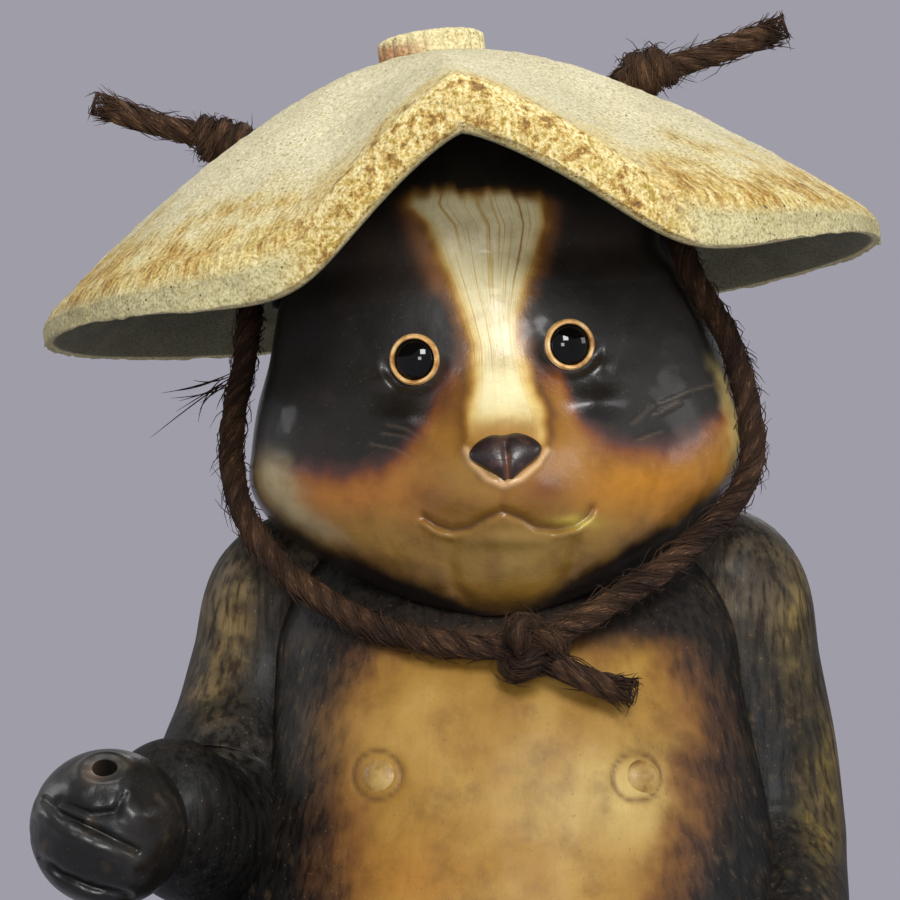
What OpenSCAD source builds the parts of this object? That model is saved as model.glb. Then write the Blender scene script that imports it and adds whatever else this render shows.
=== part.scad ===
/* [Figure] */
// Height of the shoulders above the base
shoulder_h = 336; // [326:1:346]
// Width of the belly at its fullest
belly_w = 236; // [226:2:246]
// Depth of the belly at its fullest, front to back
belly_d = 218; // [210:2:226]
// Width of the flat base that the figure stands on
base_w = 176; // [164:2:188]
// Width of the chest just below the armpits
chest_w = 176; // [170:2:182]
// Thickness of the fired clay wall of the body and the head
wall = 9; // [7:0.5:11]
// Thickness of the floor that closes the base
floor_t = 12; // [9:0.5:15]
// Radius of the vent hole in the floor
vent_r = 10; // [7:0.5:13]
// Distance of the vent hole behind the middle of the base
vent_y = 34; // [28:1:44]
// Gap left along each luted joint between two clay pieces
seam = 0.3; // [0.2:0.05:0.5]

/* [Head] */
// Width of the head across the cheeks
cheek_w = 180; // [174:1:186]
// Height of the middle of the cheeks above the shoulders
cheek_z = 16.4; // [14:0.2:20]
// Distance from the middle of the head to the face
face_d = 80; // [77:0.5:83]
// Distance from the middle of the cheeks down to the underside of the jaw
jaw_h = 60; // [58:0.5:62]
// Sideways lean of the head
head_roll = 5.5; // [3:0.5:7]
// Radius of the round crown that the hat rests on
crown_r = 68; // [66:0.5:70]
// Height of the crown's centre above the middle of the cheeks
crown_z = 60; // [57:0.5:63]
// How far the muzzle stands out of the face
muzzle_out = 20; // [14:1:24]
// Height of the muzzle's middle, measured from the middle of the cheeks
muzzle_z = -13; // [-16:1:-10]
// Outer radius of the ring round each eye
eye_ring_r = 8.8; // [8:0.1:9.6]
// Radius of each glass-like eyeball
eye_r = 7; // [6.4:0.1:7.4]
// Distance from the middle of the face to each eye
eye_x = 26.6; // [24:0.2:29]
// Height of the eyes above the middle of the cheeks
eye_z = 30; // [27:0.5:33]
// Width of the nose
nose_w = 23; // [20:0.5:26]
// Height of the nose
nose_h = 16; // [14:0.5:18]
// Height of each ear
ear_h = 30; // [26:1:34]
// Running clearance between each eye part and its socket
socket_clear = 0.15; // [0.1:0.05:0.25]

/* [Limbs and tail] */
// Radius of the arms at the shoulder
arm_r = 27; // [25:0.5:29]
// Radius of the raised fist
fist_r = 26.5; // [25.5:0.5:28]
// Radius of the hole through the raised fist
fist_bore_r = 4.25; // [3.5:0.25:5]
// Distance of the fist's middle to the right of the middle of the base
fist_x = 135; // [133:1:137]
// Distance of the fist's middle in front of the middle of the base
fist_y = 95; // [93:1:97]
// Height of the fist's middle above the base
fist_z = 222; // [220:1:224]
// Length of each foot
foot_l = 92; // [84:2:100]
// Width of each foot
foot_w = 54; // [48:1:60]
// Height of each foot at the instep
foot_h = 36; // [30:1:42]
// Radius of the tail at its thickest
tail_r = 30; // [26:1:34]
// Radius of the round studs on the chest
stud_r = 7.2; // [6:0.2:8.4]
// How far each stud stands out of the chest
stud_out = 3; // [2:0.25:4]

/* [Hat] */
// Radius of the hat's rim
hat_r = 150.6; // [146:0.5:156]
// Drop from the hat's flat top to its rim at the sides and the back
hat_drop = 78.3; // [74:0.1:82]
// Drop from the hat's flat top to the middle of its raised front
front_drop = 29.5; // [26:0.1:32]
// Angle of the raised front on the figure's right, seen from above
front_right = 23; // [19:1:27]
// Angle of the raised front on the figure's left, seen from above
front_left = 27; // [22:1:31]
// Height of the hat's flat top above the crown's centre
hat_h = 78.7; // [78:0.1:81]
// Thickness of the hat under its top
hat_t = 13.4; // [12.8:0.1:15]
// Thickness of the hat at its side and back rim
rim_t = 10; // [8:0.5:12]
// Thickness of the hat at its raised front rim
front_t = 20; // [17:0.5:22]
// Radius of the knob on the hat
knob_r = 19.5; // [17:0.5:20]
// Height of the knob
knob_h = 9; // [8:0.5:12]
// Sideways lean of the hat
hat_roll = 7.2; // [6:0.1:8]
// How far the hat is tipped back at rest
hat_tip = 3.5; // [2:0.25:5]
// How far the hat's raised front is turned to its left
hat_turn = 2; // [0:0.5:4]
// How far the hat's axis lies to the right of the crown's centre
hat_shift = 5.2; // [4:0.2:6]
// Clearance between the crown and the seat inside the hat
seat_clear = 0.3; // [0.2:0.05:0.6]

/* [Rope] */
// Diameter of the palm-fibre rope
rope_d = 8.5; // [7.5:0.25:9]
// Distance of the right rope hole from the hat's axis
right_hole_r = 78; // [76:0.5:80]
// Distance of the left rope hole from the hat's axis
left_hole_r = 71; // [69:0.5:74]
// How far the right rope hole is turned back from the hat's middle
right_hole_back = 15; // [10:1:18]
// Clearance all round between the rope and its hole
hole_clear = 0.6; // [0.4:0.1:1]
// Radius of each knot on top of the hat
top_knot_r = 11; // [10:0.5:12]
// Radius of the knot under the chin
chin_knot_r = 11; // [10:0.5:12]

/* [Hidden] */
// The figure faces -Y, and right and left are its own, so that its right side is -X.

clay_black = "#2a2725";
clay_ochre = "#b8893a";
clay_pale = "#d0caab";
fibre_brown = "#4a2f20";
glaze_gold = "#c8964c";

// Number of sides round each kind of form
body_sides = 36;
limb_sides = 20;
hat_sides = 72;
rope_sides = 10;

// Smooth curve through the stations of a form: column c at the place x in column 0
function span(s, x, i = 0) = (i >= len(s) - 2 || x < s[i + 1][0]) ? i : span(s, x, i + 1);
function slope(s, i, c) =
    i == 0 ? (s[1][c] - s[0][c]) / (s[1][0] - s[0][0])
    : i == len(s) - 1 ? (s[i][c] - s[i - 1][c]) / (s[i][0] - s[i - 1][0])
    : (s[i + 1][c] - s[i - 1][c]) / (s[i + 1][0] - s[i - 1][0]);
function along(s, x, c) =
    let (
        i = span(s, x),
        h = s[i + 1][0] - s[i][0],
        t = min(1, max(0, (x - s[i][0]) / h)),
        a = s[i][c],
        b = s[i + 1][c]
    )
    (2 * pow(t, 3) - 3 * pow(t, 2) + 1) * a + (pow(t, 3) - 2 * pow(t, 2) + t) * h * slope(s, i, c)
    + (3 * pow(t, 2) - 2 * pow(t, 3)) * b + (pow(t, 3) - pow(t, 2)) * h * slope(s, i + 1, c);

// Rounded oval of half width w from y0 to y1, at height z, with its middle at x = m
function eased(v, power) = sign(v) * pow(abs(v), power);
function oval(z, m, w, y0, y1, n, power = 0.9) = [
    for (k = [0:n - 1])
        let (a = 360 * k / n)
        [m + w * eased(cos(a), power), (y0 + y1) / 2 + (y1 - y0) / 2 * eased(sin(a), power), z]
];

// Closed solid through rings of points, each with the same count
module loft(rings) {
    n = len(rings[0]);
    last = len(rings) - 1;
    points = [for (r = rings) for (p = r) p];
    sides = [
        for (i = [0:last - 1]) for (k = [0:n - 1])
            let (a = i * n + k, b = i * n + (k + 1) % n)
            each [[a, a + n, b + n], [a, b + n, b]]
    ];
    bottom = [for (k = [0:n - 1]) k];
    top = [for (k = [n - 1:-1:0]) last * n + k];
    polyhedron(points, concat(sides, [bottom, top]));
}

// Tube along a path, square to it at each point, with a radius for each point
function unit(v) = v / norm(v);
function heading(p, i) = unit(p[min(i + 1, len(p) - 1)] - p[max(i - 1, 0)]);
function carried(p, i) =
    i == 0 ? unit(cross(heading(p, 0), abs(heading(p, 0)[2]) < 0.9 ? [0, 0, 1] : [0, 1, 0]))
    : let (f = carried(p, i - 1), h = heading(p, i)) unit(f - h * (f * h));
function tube_ring(p, i, r, n) =
    let (u = carried(p, i), v = cross(heading(p, i), u))
    [for (k = [0:n - 1]) p[i] + r * (cos(360 * k / n) * u + sin(360 * k / n) * v)];
module tube(p, radii, n) loft([for (i = [0:len(p) - 1]) tube_ring(p, i, radii[i], n)]);
function even(r, count) = [for (i = [0:count - 1]) r];

// Points on a smooth curve through a path's own points
function bend(p, i, t) =
    let (
        a = p[max(i - 1, 0)],
        b = p[i],
        c = p[i + 1],
        d = p[min(i + 2, len(p) - 1)]
    )
    b + (c - a) * t / 2
    + (a * 2 - b * 5 + c * 4 - d) * pow(t, 2) / 2
    + (b * 3 - a - c * 3 + d) * pow(t, 3) / 2;
function curve(p, steps) = concat(
    [for (i = [0:len(p) - 2]) for (k = [0:steps - 1]) bend(p, i, k / steps)],
    [p[len(p) - 1]]
);

// Limb that bends and swells smoothly through its stations, with a dome on each end
dome_flat = 0.7;
function dome(p, radii, end) =
    let (
        last = len(p) - 1,
        way = end ? unit(p[last] - p[last - 1]) : unit(p[0] - p[1]),
        at = end ? p[last] : p[0],
        r = end ? radii[last] : radii[0]
    )
    [for (a = end ? [35, 65, 85] : [85, 65, 35]) [at + way * r * dome_flat * sin(a), r * cos(a)]];
module limb(route, radii, steps) {
    p = curve(route, steps);
    r = curve(radii, steps);
    first = dome(p, r, false);
    final = dome(p, r, true);
    tube(
        concat([for (d = first) d[0]], p, [for (d = final) d[0]]),
        concat([for (d = first) d[1]], r, [for (d = final) d[1]]),
        limb_sides
    );
}

// Body form: height, half width, front and back, from the figure's own sizes
torso_stations = [
    [0, 0.5 * base_w, -0.367 * belly_d, 0.339 * belly_d],
    [0.036 * shoulder_h, 0.534 * base_w, -0.413 * belly_d, 0.376 * belly_d],
    [0.134 * shoulder_h, 0.462 * belly_w, -0.495 * belly_d, 0.422 * belly_d],
    [0.298 * shoulder_h, 0.5 * belly_w, -0.56 * belly_d, 0.44 * belly_d],
    [0.417 * shoulder_h, 0.496 * belly_w, -0.569 * belly_d, 0.431 * belly_d],
    [0.551 * shoulder_h, 0.441 * belly_w, -0.523 * belly_d, 0.399 * belly_d],
    [0.67 * shoulder_h, 0.534 * chest_w, -0.454 * belly_d, 0.358 * belly_d],
    [0.774 * shoulder_h, 0.489 * chest_w, -0.394 * belly_d, 0.321 * belly_d],
    [0.857 * shoulder_h, 0.477 * chest_w, -0.317 * belly_d, 0.284 * belly_d],
    [0.917 * shoulder_h, 0.443 * chest_w, -0.22 * belly_d, 0.257 * belly_d],
    [0.958 * shoulder_h, 0.375 * chest_w, -0.128 * belly_d, 0.22 * belly_d],
    [0.988 * shoulder_h, 0.25 * chest_w, -0.037 * belly_d, 0.165 * belly_d],
    [shoulder_h, 0.114 * chest_w, 0.009 * belly_d, 0.119 * belly_d]
];
// Places of the rings, as shares of the shoulders' height
ring_shares = [
    0, 0.015, 0.042, 0.089, 0.149, 0.223, 0.298, 0.372, 0.446, 0.521, 0.595, 0.661, 0.72,
    0.774, 0.821, 0.863, 0.899, 0.932, 0.961, 0.985, 1
];
function torso_ring(z, inset) = oval(
    z, 0, along(torso_stations, z, 1) - inset, along(torso_stations, z, 2) + inset,
    along(torso_stations, z, 3) - inset, body_sides
);
// Torso grown by a seam, between two of its ring shares, to cut what is luted onto it
module torso_form(grow, from = 0, to = 1)
    loft([
        for (share = ring_shares) if (share >= from && share <= to)
            torso_ring(share * shoulder_h, -grow)
    ]);

// Head form, measured from the middle of the cheeks: height, half width, front, back, middle
crown_x = -3;
head_stations = [
    [-jaw_h, 0.094 * cheek_w, -0.85 * face_d, -0.3 * face_d, crown_x],
    [-0.917 * jaw_h, 0.183 * cheek_w, -0.925 * face_d, -0.075 * face_d, 0.7 * crown_x],
    [-0.817 * jaw_h, 0.256 * cheek_w, -0.963 * face_d, 0.1 * face_d, 0.3 * crown_x],
    [-0.667 * jaw_h, 0.339 * cheek_w, -0.988 * face_d, 0.313 * face_d, 0],
    [-0.5 * jaw_h, 0.411 * cheek_w, -face_d, 0.5 * face_d, 0],
    [-0.333 * jaw_h, 0.469 * cheek_w, -face_d, 0.65 * face_d, 0],
    [-0.133 * jaw_h, 0.5 * cheek_w, -face_d, 0.775 * face_d, 0],
    [0.083 * crown_z, 0.492 * cheek_w, -0.988 * face_d, 0.85 * face_d, 0],
    [0.333 * crown_z, 0.472 * cheek_w, -0.963 * face_d, 0.9 * face_d, 0],
    [0.583 * crown_z, 0.442 * cheek_w, -0.938 * face_d, 0.913 * face_d, 0],
    [0.833 * crown_z, 0.408 * cheek_w, -0.9 * face_d, 0.9 * face_d, 0.7 * crown_x],
    [crown_z, crown_r, -crown_r, crown_r, crown_x]
];
// Places of the rings, as shares of the jaw's depth below the cheeks and of the crown's height
function face_rings(jaw, brow) = concat(
    [for (share = jaw) -share * jaw_h],
    [for (share = brow) share * crown_z]
);
jaw_heights = face_rings([1, 0.95, 0.867, 0.767, 0.65, 0.533, 0.417, 0.3, 0.183, 0.067], []);
brow_heights = face_rings([], [0.083, 0.25, 0.433, 0.633, 0.833]);
face_heights = concat(jaw_heights, brow_heights);
crown_angles = [-4, 4, 13, 22, 32, 43, 55, 67, 78];
// The muzzle's swell, added to the front of a ring
face_from = -20;
muzzle_x = -1;
muzzle_half = 25;
muzzle_above = 24;
muzzle_below = 20;
function swelled(r) = [
    for (p = r)
        let (
            x = p[0] - muzzle_x,
            z = p[2] - muzzle_z,
            swell = exp(-pow(x / muzzle_half, 2) - pow(z / (z > 0 ? muzzle_above : muzzle_below), 2))
        )
        [p[0], p[1] - (p[1] < face_from ? muzzle_out * swell : 0), p[2]]
];
function face_ring(z, inset) = swelled(oval(
    z, along(head_stations, z, 4), along(head_stations, z, 1) - inset, along(head_stations, z, 2) + inset,
    along(head_stations, z, 3) - inset, body_sides
));
function crown_ring(a, inset) =
    let (r = (crown_r - inset) * cos(a))
    oval(crown_z + (crown_r - inset) * sin(a), crown_x, r, -r, r, body_sides, 1);
function head_rings(inset) = concat(
    [for (z = face_heights) face_ring(z, inset)],
    [for (a = crown_angles) crown_ring(a, inset)]
);
function backwards(list) = [for (i = [len(list) - 1:-1:0]) list[i]];
head_x = -2.9;
head_z = shoulder_h + cheek_z;
module in_head() translate([head_x, 0, head_z]) rotate([0, -head_roll, 0]) children();
// Lower part of the head, up to the fullest of the cheeks, to cut what the head is luted onto
module jaw_form(grow)
    in_head() loft([for (z = concat(jaw_heights, [brow_heights[0]])) face_ring(z, -grow)]);

// Centre of the crown, which the hat rocks about
crown_at = [
    head_x + crown_x * cos(head_roll) - crown_z * sin(head_roll),
    0,
    head_z + crown_x * sin(head_roll) + crown_z * cos(head_roll)
];
module in_hat() translate(crown_at) rotate([0, -hat_roll, 0]) rotate([-hat_tip, 0, 0]) children();
module on_hat_axis() in_hat() translate([-hat_shift, 0, 0]) rotate([0, 0, hat_turn]) children();

// The hat's top, as a height above the crown's centre at a radius and an angle from its front
hat_power = 1.4;
front_power = 1.15;
fold_power = 1.25;
corner_sharp = 8;
seat_r = 21;
function outwards(r) = max(0, (r - seat_r) / (hat_r - seat_r));
function corner(a) = a < 0 ? front_right : front_left;
// Share of the full drop at an angle: rises from the peak and levels off past a rounded corner
function fold(a) =
    let (t = abs(a) / corner(a))
    pow(t, fold_power) / pow(1 + pow(t, corner_sharp), fold_power / corner_sharp);
function hat_top(r, a) =
    hat_h - hat_drop * pow(outwards(r), hat_power) * fold(a)
    - front_drop * pow(outwards(r), front_power) * (1 - fold(a));
function rim_thick(a) = rim_t + (front_t - rim_t) * exp(-pow(max(0, abs(a) - corner(a)) / 26, 2));
function hat_thick(r, a) = hat_t + (rim_thick(a) - hat_t) * pow(outwards(r), 2);
rim_round = 3;
hat_radii = [seat_r, 32, 45, 60, 76, 92, 108, 124, hat_r - 13, hat_r - rim_round];
// Angles round the hat, spread so that the raised front's corners fall on two of them
front_sides = 25;
function spread(a) =
    abs(a) <= front_sides ? a * corner(a) / front_sides
    : sign(a) * (corner(a) + (abs(a) - front_sides) * (180 - corner(a)) / (180 - front_sides));
function hat_ring(r, drop, under) = [
    for (k = [0:hat_sides - 1])
        let (a = spread(360 * k / hat_sides - 180))
        [r * sin(a), -r * cos(a), hat_top(r, a) - drop - under * (hat_thick(r, a) - 2 * drop)]
];

// Where the ropes run: routes chosen by hand along the cheeks and under the chin
hole_r = rope_d / 2 + hole_clear;
function hole_from_axis(side) = side < 0 ? right_hole_r : left_hole_r;
module at_hole(side)
    rotate([0, 0, side < 0 ? -right_hole_back : 0])
        translate([side * hole_from_axis(side), 0, 0])
            children();
function from_shoulders(route) = [for (p = route) p + [0, 0, shoulder_h]];
right_strap_route = from_shoulders([
    [-97.05, 19.95, 104.1], [-96.65, 19.75, 101.1], [-95.7, 18.5, 94], [-94, 13, 80], [-92.5, 4, 65],
    [-93.5, -6, 48], [-97, -13, 28], [-98, -19, 10], [-94, -28, -8], [-83, -38, -24],
    [-67, -52, -37], [-47, -67, -47], [-27, -79, -52], [-12, -84, -54], [-2, -85, -54]
]);
left_strap_route = from_shoulders([
    [48.15, 5.15, 127.4], [48.5, 4.95, 124.4], [52, 1, 118], [56, -6, 108], [59, -13, 98],
    [61, -21, 87], [66, -30, 72], [75, -35, 56], [81, -37, 41], [84.5, -40, 25], [85, -43.5, 9],
    [79, -47, -4], [67, -56, -17], [50, -66, -30], [33, -76, -40], [22, -81, -46.5],
    [14.5, -84, -50.5]
]);
chin_knot_at = [7, -86, shoulder_h - 53.5];
chin_tail_route = from_shoulders([[15, -88, -59], [22, -90, -63], [30, -89, -66], [38, -87, -68]]);

// Surface of a form, as the y of its front at a place to the side and a height
function front_at(s, x, z) =
    let (c = pow(abs(x) / along(s, z, 1), 1 / 0.9), y0 = along(s, z, 2), y1 = along(s, z, 3))
    (y0 + y1) / 2 - (y1 - y0) / 2 * pow(1 - c * c, 0.45);

socket_depth = 5;
eye_splay = 14;
eye_mid = -0.4;
module at_eye(side)
    in_head()
        translate([eye_mid + side * eye_x, front_at(head_stations, eye_x, eye_z), eye_z])
            rotate([0, 0, side * eye_splay])
                rotate([90, 0, 0])
                    translate([0, 0, -socket_depth])
                        children();
module eye_socket(side) at_eye(side) cylinder(r = eye_ring_r + socket_clear, h = 30, $fn = 48);

stud_x = 43.7;
stud_z = 238.5;
stud_splay = 20;
stud_rise = 19;
module at_stud(side)
    translate([side * stud_x, front_at(torso_stations, stud_x, stud_z), stud_z])
        rotate([0, 0, side * stud_splay])
            rotate([90 - stud_rise, 0, 0])
                translate([0, 0, -socket_depth])
                    children();
module stud_socket(side) at_stud(side) cylinder(r = stud_r + socket_clear, h = 30, $fn = 48);

nose_at = [0.3, -6.4];
nose_back = -93;
nose_front = -98.7;
// Centres and radii of the three lobes that a nose is rounded over
nose_lobes = [
    [-nose_w / 2 + 5.5, nose_h / 2 - 5.5, 5.5],
    [nose_w / 2 - 5.5, nose_h / 2 - 5.5, 5.5],
    [0, -nose_h / 2 + 3.5, 3.5]
];
module nose_seat()
    in_head()
        translate([nose_at[0], nose_back, nose_at[1]])
            rotate([90, 0, 0])
                linear_extrude(60)
                    hull()
                        for (lobe = nose_lobes)
                            translate([lobe[0], lobe[1]]) circle(r = lobe[2] + socket_clear, $fn = 32);

// Torso: one thick-walled shell, open at the shoulders where the head is luted on
module torso() {
    color(clay_black) difference() {
        loft(concat(
            [for (share = ring_shares) torso_ring(share * shoulder_h, 0)],
            backwards(concat(
                [torso_ring(floor_t, wall)],
                [for (share = ring_shares) if (share > 0.06) torso_ring(share * shoulder_h, wall)]
            ))
        ));
        jaw_form(seam);
        translate([0, vent_y, -1]) cylinder(r = vent_r, h = floor_t + 30, $fn = 48);
        stud_socket(-1);
        stud_socket(1);
    }
}

// Head: a thick-walled shell, open below into the body
inner_face_heights = face_rings([0.867, 0.65, 0.417, 0.183], [0.083, 0.433, 0.833]);
inner_crown_angles = [4, 22, 43, 67];
module head() {
    color(clay_ochre) difference() {
        in_head() loft(concat(
            backwards(concat(
                [for (z = inner_face_heights) face_ring(z, wall)],
                [for (a = inner_crown_angles) crown_ring(a, wall)]
            )),
            head_rings(0)
        ));
        eye_socket(-1);
        eye_socket(1);
        nose_seat();
    }
}

// Ears: small rounded lobes luted on beside the crown, under the hat
ear_stations = [[-14, 5, -12, 12], [-2, 8, -16, 16], [10, 7, -13, 13], [ear_h - 14, 3, -5, 5]];
ear_heights = [-14, -8, -2, 4, 10, ear_h - 14];
ear_y = 14;
ear_lean = 9;
module ear(side) {
    color(clay_black) difference() {
        in_head()
            translate([crown_x + side * (crown_r - 1), ear_y, crown_z + 8])
                rotate([0, -side * ear_lean, 0])
                    loft([
                        for (z = ear_heights)
                            oval(z, 0, along(ear_stations, z, 1), along(ear_stations, z, 2),
                                along(ear_stations, z, 3), limb_sides)
                    ]);
        in_head() loft(concat(
            [face_ring(brow_heights[3], -seam), face_ring(brow_heights[4], -seam)],
            [for (a = crown_angles) crown_ring(a, -seam)]
        ));
    }
}
module right_ear() ear(-1);
module left_ear() ear(1);

// Eye rings: raised glazed rings seated in the eye sockets
ring_out = 1.4;
module eye_ring(side) {
    color(glaze_gold) at_eye(side) rotate_extrude($fn = 64) polygon([
        [eye_r + socket_clear, 0],
        [eye_ring_r, 0],
        [eye_ring_r, socket_depth + ring_out - 1],
        [eye_ring_r - 0.6, socket_depth + ring_out],
        [eye_r + socket_clear + 0.3, socket_depth + ring_out],
        [eye_r + socket_clear, socket_depth + ring_out - 0.4]
    ]);
}
module right_eye_ring() eye_ring(-1);
module left_eye_ring() eye_ring(1);

// Eyeballs: domed black plugs inside the rings
eye_dome = 2.6;
module eyeball(side) {
    dome_r = (eye_r * eye_r + eye_dome * eye_dome) / (2 * eye_dome);
    color("#0c0b0a") at_eye(side) intersection() {
        cylinder(r = eye_r, h = socket_depth + eye_dome + 1, $fn = 64);
        translate([0, 0, socket_depth + eye_dome - dome_r]) sphere(r = dome_r, $fn = 96);
    }
}
module right_eyeball() eyeball(-1);
module left_eyeball() eyeball(1);

// Nose: a rounded three-lobed button in its flat-bottomed seat on the muzzle
module nose() {
    color("#3a2a24") in_head() translate([nose_at[0], nose_back, nose_at[1]]) rotate([90, 0, 0]) hull() {
        for (lobe = nose_lobes) translate([lobe[0], lobe[1], 0]) cylinder(r = lobe[2], h = 1, $fn = 32);
        for (lobe = nose_lobes)
            translate([lobe[0], lobe[1], nose_back - nose_front]) sphere(r = lobe[2], $fn = 28);
    }
}

// Chest studs: low domed discs set into the chest
module chest_stud(side) {
    dome_r = (stud_r * stud_r + stud_out * stud_out) / (2 * stud_out);
    color(clay_ochre) at_stud(side) intersection() {
        cylinder(r = stud_r, h = socket_depth + stud_out + 1, $fn = 64);
        translate([0, 0, socket_depth + stud_out - dome_r]) sphere(r = dome_r, $fn = 96);
    }
}
module right_chest_stud() chest_stud(-1);
module left_chest_stud() chest_stud(1);

// Arms: solid rolls of clay from the shoulder through the elbow to the wrist
function from_sizes(route) = [for (p = route) [p[0] * chest_w, p[1] * belly_d, p[2] * shoulder_h]];
fist_at = [-fist_x, -fist_y, fist_z];
right_arm_route = concat(
    from_sizes([
        [-0.352, 0, 0.905], [-0.455, -0.009, 0.884], [-0.494, -0.018, 0.81],
        [-0.528, -0.064, 0.726]
    ]),
    [for (to_fist = [[36, 62, -1], [28, 41, -5], [21, 27, 2], [17, 21, 6]]) fist_at + to_fist]
);
right_arm_radii = [arm_r - 3, arm_r, arm_r - 1, arm_r - 1, arm_r, arm_r - 1, arm_r - 4, arm_r - 6];
left_arm_route = from_sizes([
    [0.352, 0, 0.911], [0.455, -0.009, 0.893], [0.489, -0.018, 0.81], [0.523, -0.037, 0.714],
    [0.534, -0.083, 0.619], [0.551, -0.22, 0.548], [0.534, -0.349, 0.509], [0.517, -0.399, 0.494]
]);
left_arm_radii = [arm_r - 3, arm_r, arm_r - 1, arm_r - 1, arm_r, arm_r - 4, arm_r - 8, arm_r - 13];
hand_route = from_sizes([[0.506, -0.427, 0.488], [0.494, -0.463, 0.476], [0.472, -0.5, 0.461]]);
hand_radii = [arm_r - 8.5, arm_r - 7.5, arm_r - 12];
arms_from = 0.36;
module arm(route, radii) {
    color(clay_black) difference() {
        limb(route, radii, 2);
        torso_form(seam, arms_from);
        jaw_form(seam);
        children();
    }
}
module right_arm()
    arm(right_arm_route, right_arm_radii) translate(fist_at) sphere(r = fist_r + seam, $fn = 64);
module left_arm() arm(left_arm_route, left_arm_radii);

// Raised fist: fingers rolled round a hole that leans forward and goes right through
fist_lean = 36;
finger_gap = 10;
groove_r = 1.6;
module right_fist() {
    color(clay_black) translate(fist_at) rotate([fist_lean, 0, 0]) difference() {
        sphere(r = fist_r, $fn = 96);
        translate([0, 0, -fist_r - 1]) cylinder(r = fist_bore_r, h = 2 * fist_r + 2, $fn = 64);
        for (row = [-1:1])
            let (z = row * finger_gap)
            translate([0, 0, z])
                rotate_extrude($fn = 64)
                    translate([sqrt(fist_r * fist_r - z * z), 0])
                        circle(r = groove_r, $fn = 24);
    }
}

// Lowered hand: a closed paw resting on the front of the belly
module left_hand() {
    color(clay_black) difference() {
        limb(hand_route, hand_radii, 2);
        limb(left_arm_route, [for (r = left_arm_radii) r + seam], 2);
        torso_form(seam, arms_from, 0.7);
    }
}

// Feet: flat-bottomed pads that stick out in front of the base
foot_x = 50;
foot_y = -96;
foot_stations = [
    [0, foot_w / 2 - 3, -foot_l / 2 + 3, foot_l / 2],
    [foot_h * 0.3, foot_w / 2, -foot_l / 2, foot_l / 2],
    [foot_h * 0.7, foot_w / 2 - 4, -foot_l / 2 + 8, foot_l / 2],
    [foot_h, foot_w / 2 - 14, -foot_l / 2 + 28, foot_l / 2]
];
module foot(side) {
    color(clay_black) difference() {
        translate([side * foot_x, foot_y, 0])
            loft([
                for (i = [0:6])
                    let (z = foot_h * i / 6)
                    oval(z, 0, along(foot_stations, z, 1), along(foot_stations, z, 2),
                        along(foot_stations, z, 3), limb_sides + 4)
            ]);
        torso_form(seam, 0, 0.23);
    }
}
module right_foot() foot(-1);
module left_foot() foot(1);

// Tail: a thick club that curls up the back
tail_route = from_sizes([
    [0.011, 0.321, 0.131], [0.057, 0.422, 0.149], [0.114, 0.486, 0.202], [0.159, 0.514, 0.28],
    [0.182, 0.5, 0.357], [0.188, 0.468, 0.417]
]);
tail_radii = [tail_r - 10, tail_r - 3, tail_r, tail_r, tail_r - 5, tail_r - 14];
module tail() {
    color(clay_black) difference() {
        limb(tail_route, tail_radii, 2);
        torso_form(seam, 0, 0.6);
    }
}

// Hat: a slab draped into a cone, with its front folded up and a round seat for the crown
module hat_shell() {
    color(clay_pale) difference() {
        on_hat_axis() difference() {
            loft(concat(
                [for (r = hat_radii) hat_ring(r, 0, 1)],
                [hat_ring(hat_r, rim_round, 1), hat_ring(hat_r, rim_round, 0)],
                backwards([for (r = hat_radii) hat_ring(r, 0, 0)])
            ));
            for (side = [-1, 1])
                at_hole(side) translate([0, 0, -10]) cylinder(r = hole_r, h = 100, $fn = 48);
        }
        translate(crown_at) sphere(r = crown_r + seat_clear, $fn = 128);
    }
}

// Knob: a low ribbed disc pressed onto the hat's flat top
rib_count = 18;
rib_groove = 1.3;
knob_edge = 2;
module hat_knob() {
    color("#e3d5a5") on_hat_axis() translate([0, 0, hat_h]) difference() {
        rotate_extrude($fn = 72) polygon([
            [0, 0],
            [knob_r - 1, 0],
            [knob_r, knob_edge],
            [knob_r, knob_h - knob_edge],
            [knob_r - knob_edge, knob_h],
            [0, knob_h]
        ]);
        for (k = [0:rib_count - 1])
            rotate([0, 0, 360 * k / rib_count])
                translate([knob_r + 0.3, 0, -1])
                    cylinder(r = rib_groove, h = knob_h + 2, $fn = 16);
    }
}

// Knots on top of the hat: each stops the rope's end above its hole, with its shank down the hole
knot_squash = 0.75;
shank_out = 1;
hole_slope = 24;
module top_knot(side) {
    z = hat_top(hole_from_axis(side), 90);
    bottom = z - hat_thick(hole_from_axis(side), 90) - shank_out;
    color(fibre_brown) on_hat_axis() at_hole(side) {
        translate([0, 0, z]) rotate([0, side * hole_slope, 0])
            translate([0, 0, top_knot_r * knot_squash + 0.8])
                rotate_extrude($fn = 48)
                    intersection() {
                        scale([1, knot_squash]) circle(r = top_knot_r, $fn = 48);
                        translate([0, -top_knot_r]) square([top_knot_r, 2 * top_knot_r]);
                    }
        translate([0, 0, bottom]) cylinder(r = rope_d / 2, h = z - bottom + 6, $fn = 32);
    }
}
module right_top_knot() top_knot(-1);
module left_top_knot() top_knot(1);

// Rope stretches: stiff tails on the hat, straps down the cheeks, and the tail of the chin knot
right_top_tail_route = [[-103.5, 22, 462], [-117, 21, 465], [-132, 19, 469], [-147, 17, 474]];
left_top_tail_route = [[55, 6, 486], [69, 5, 490], [83, 3, 495], [97, 1, 500]];
module rope(route) color(fibre_brown) tube(route, even(rope_d / 2, len(route)), rope_sides);
module right_top_tail() rope(right_top_tail_route);
module left_top_tail() rope(left_top_tail_route);
module right_strap() rope(right_strap_route);
module left_strap() rope(left_strap_route);
module chin_tail() rope(chin_tail_route);

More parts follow.
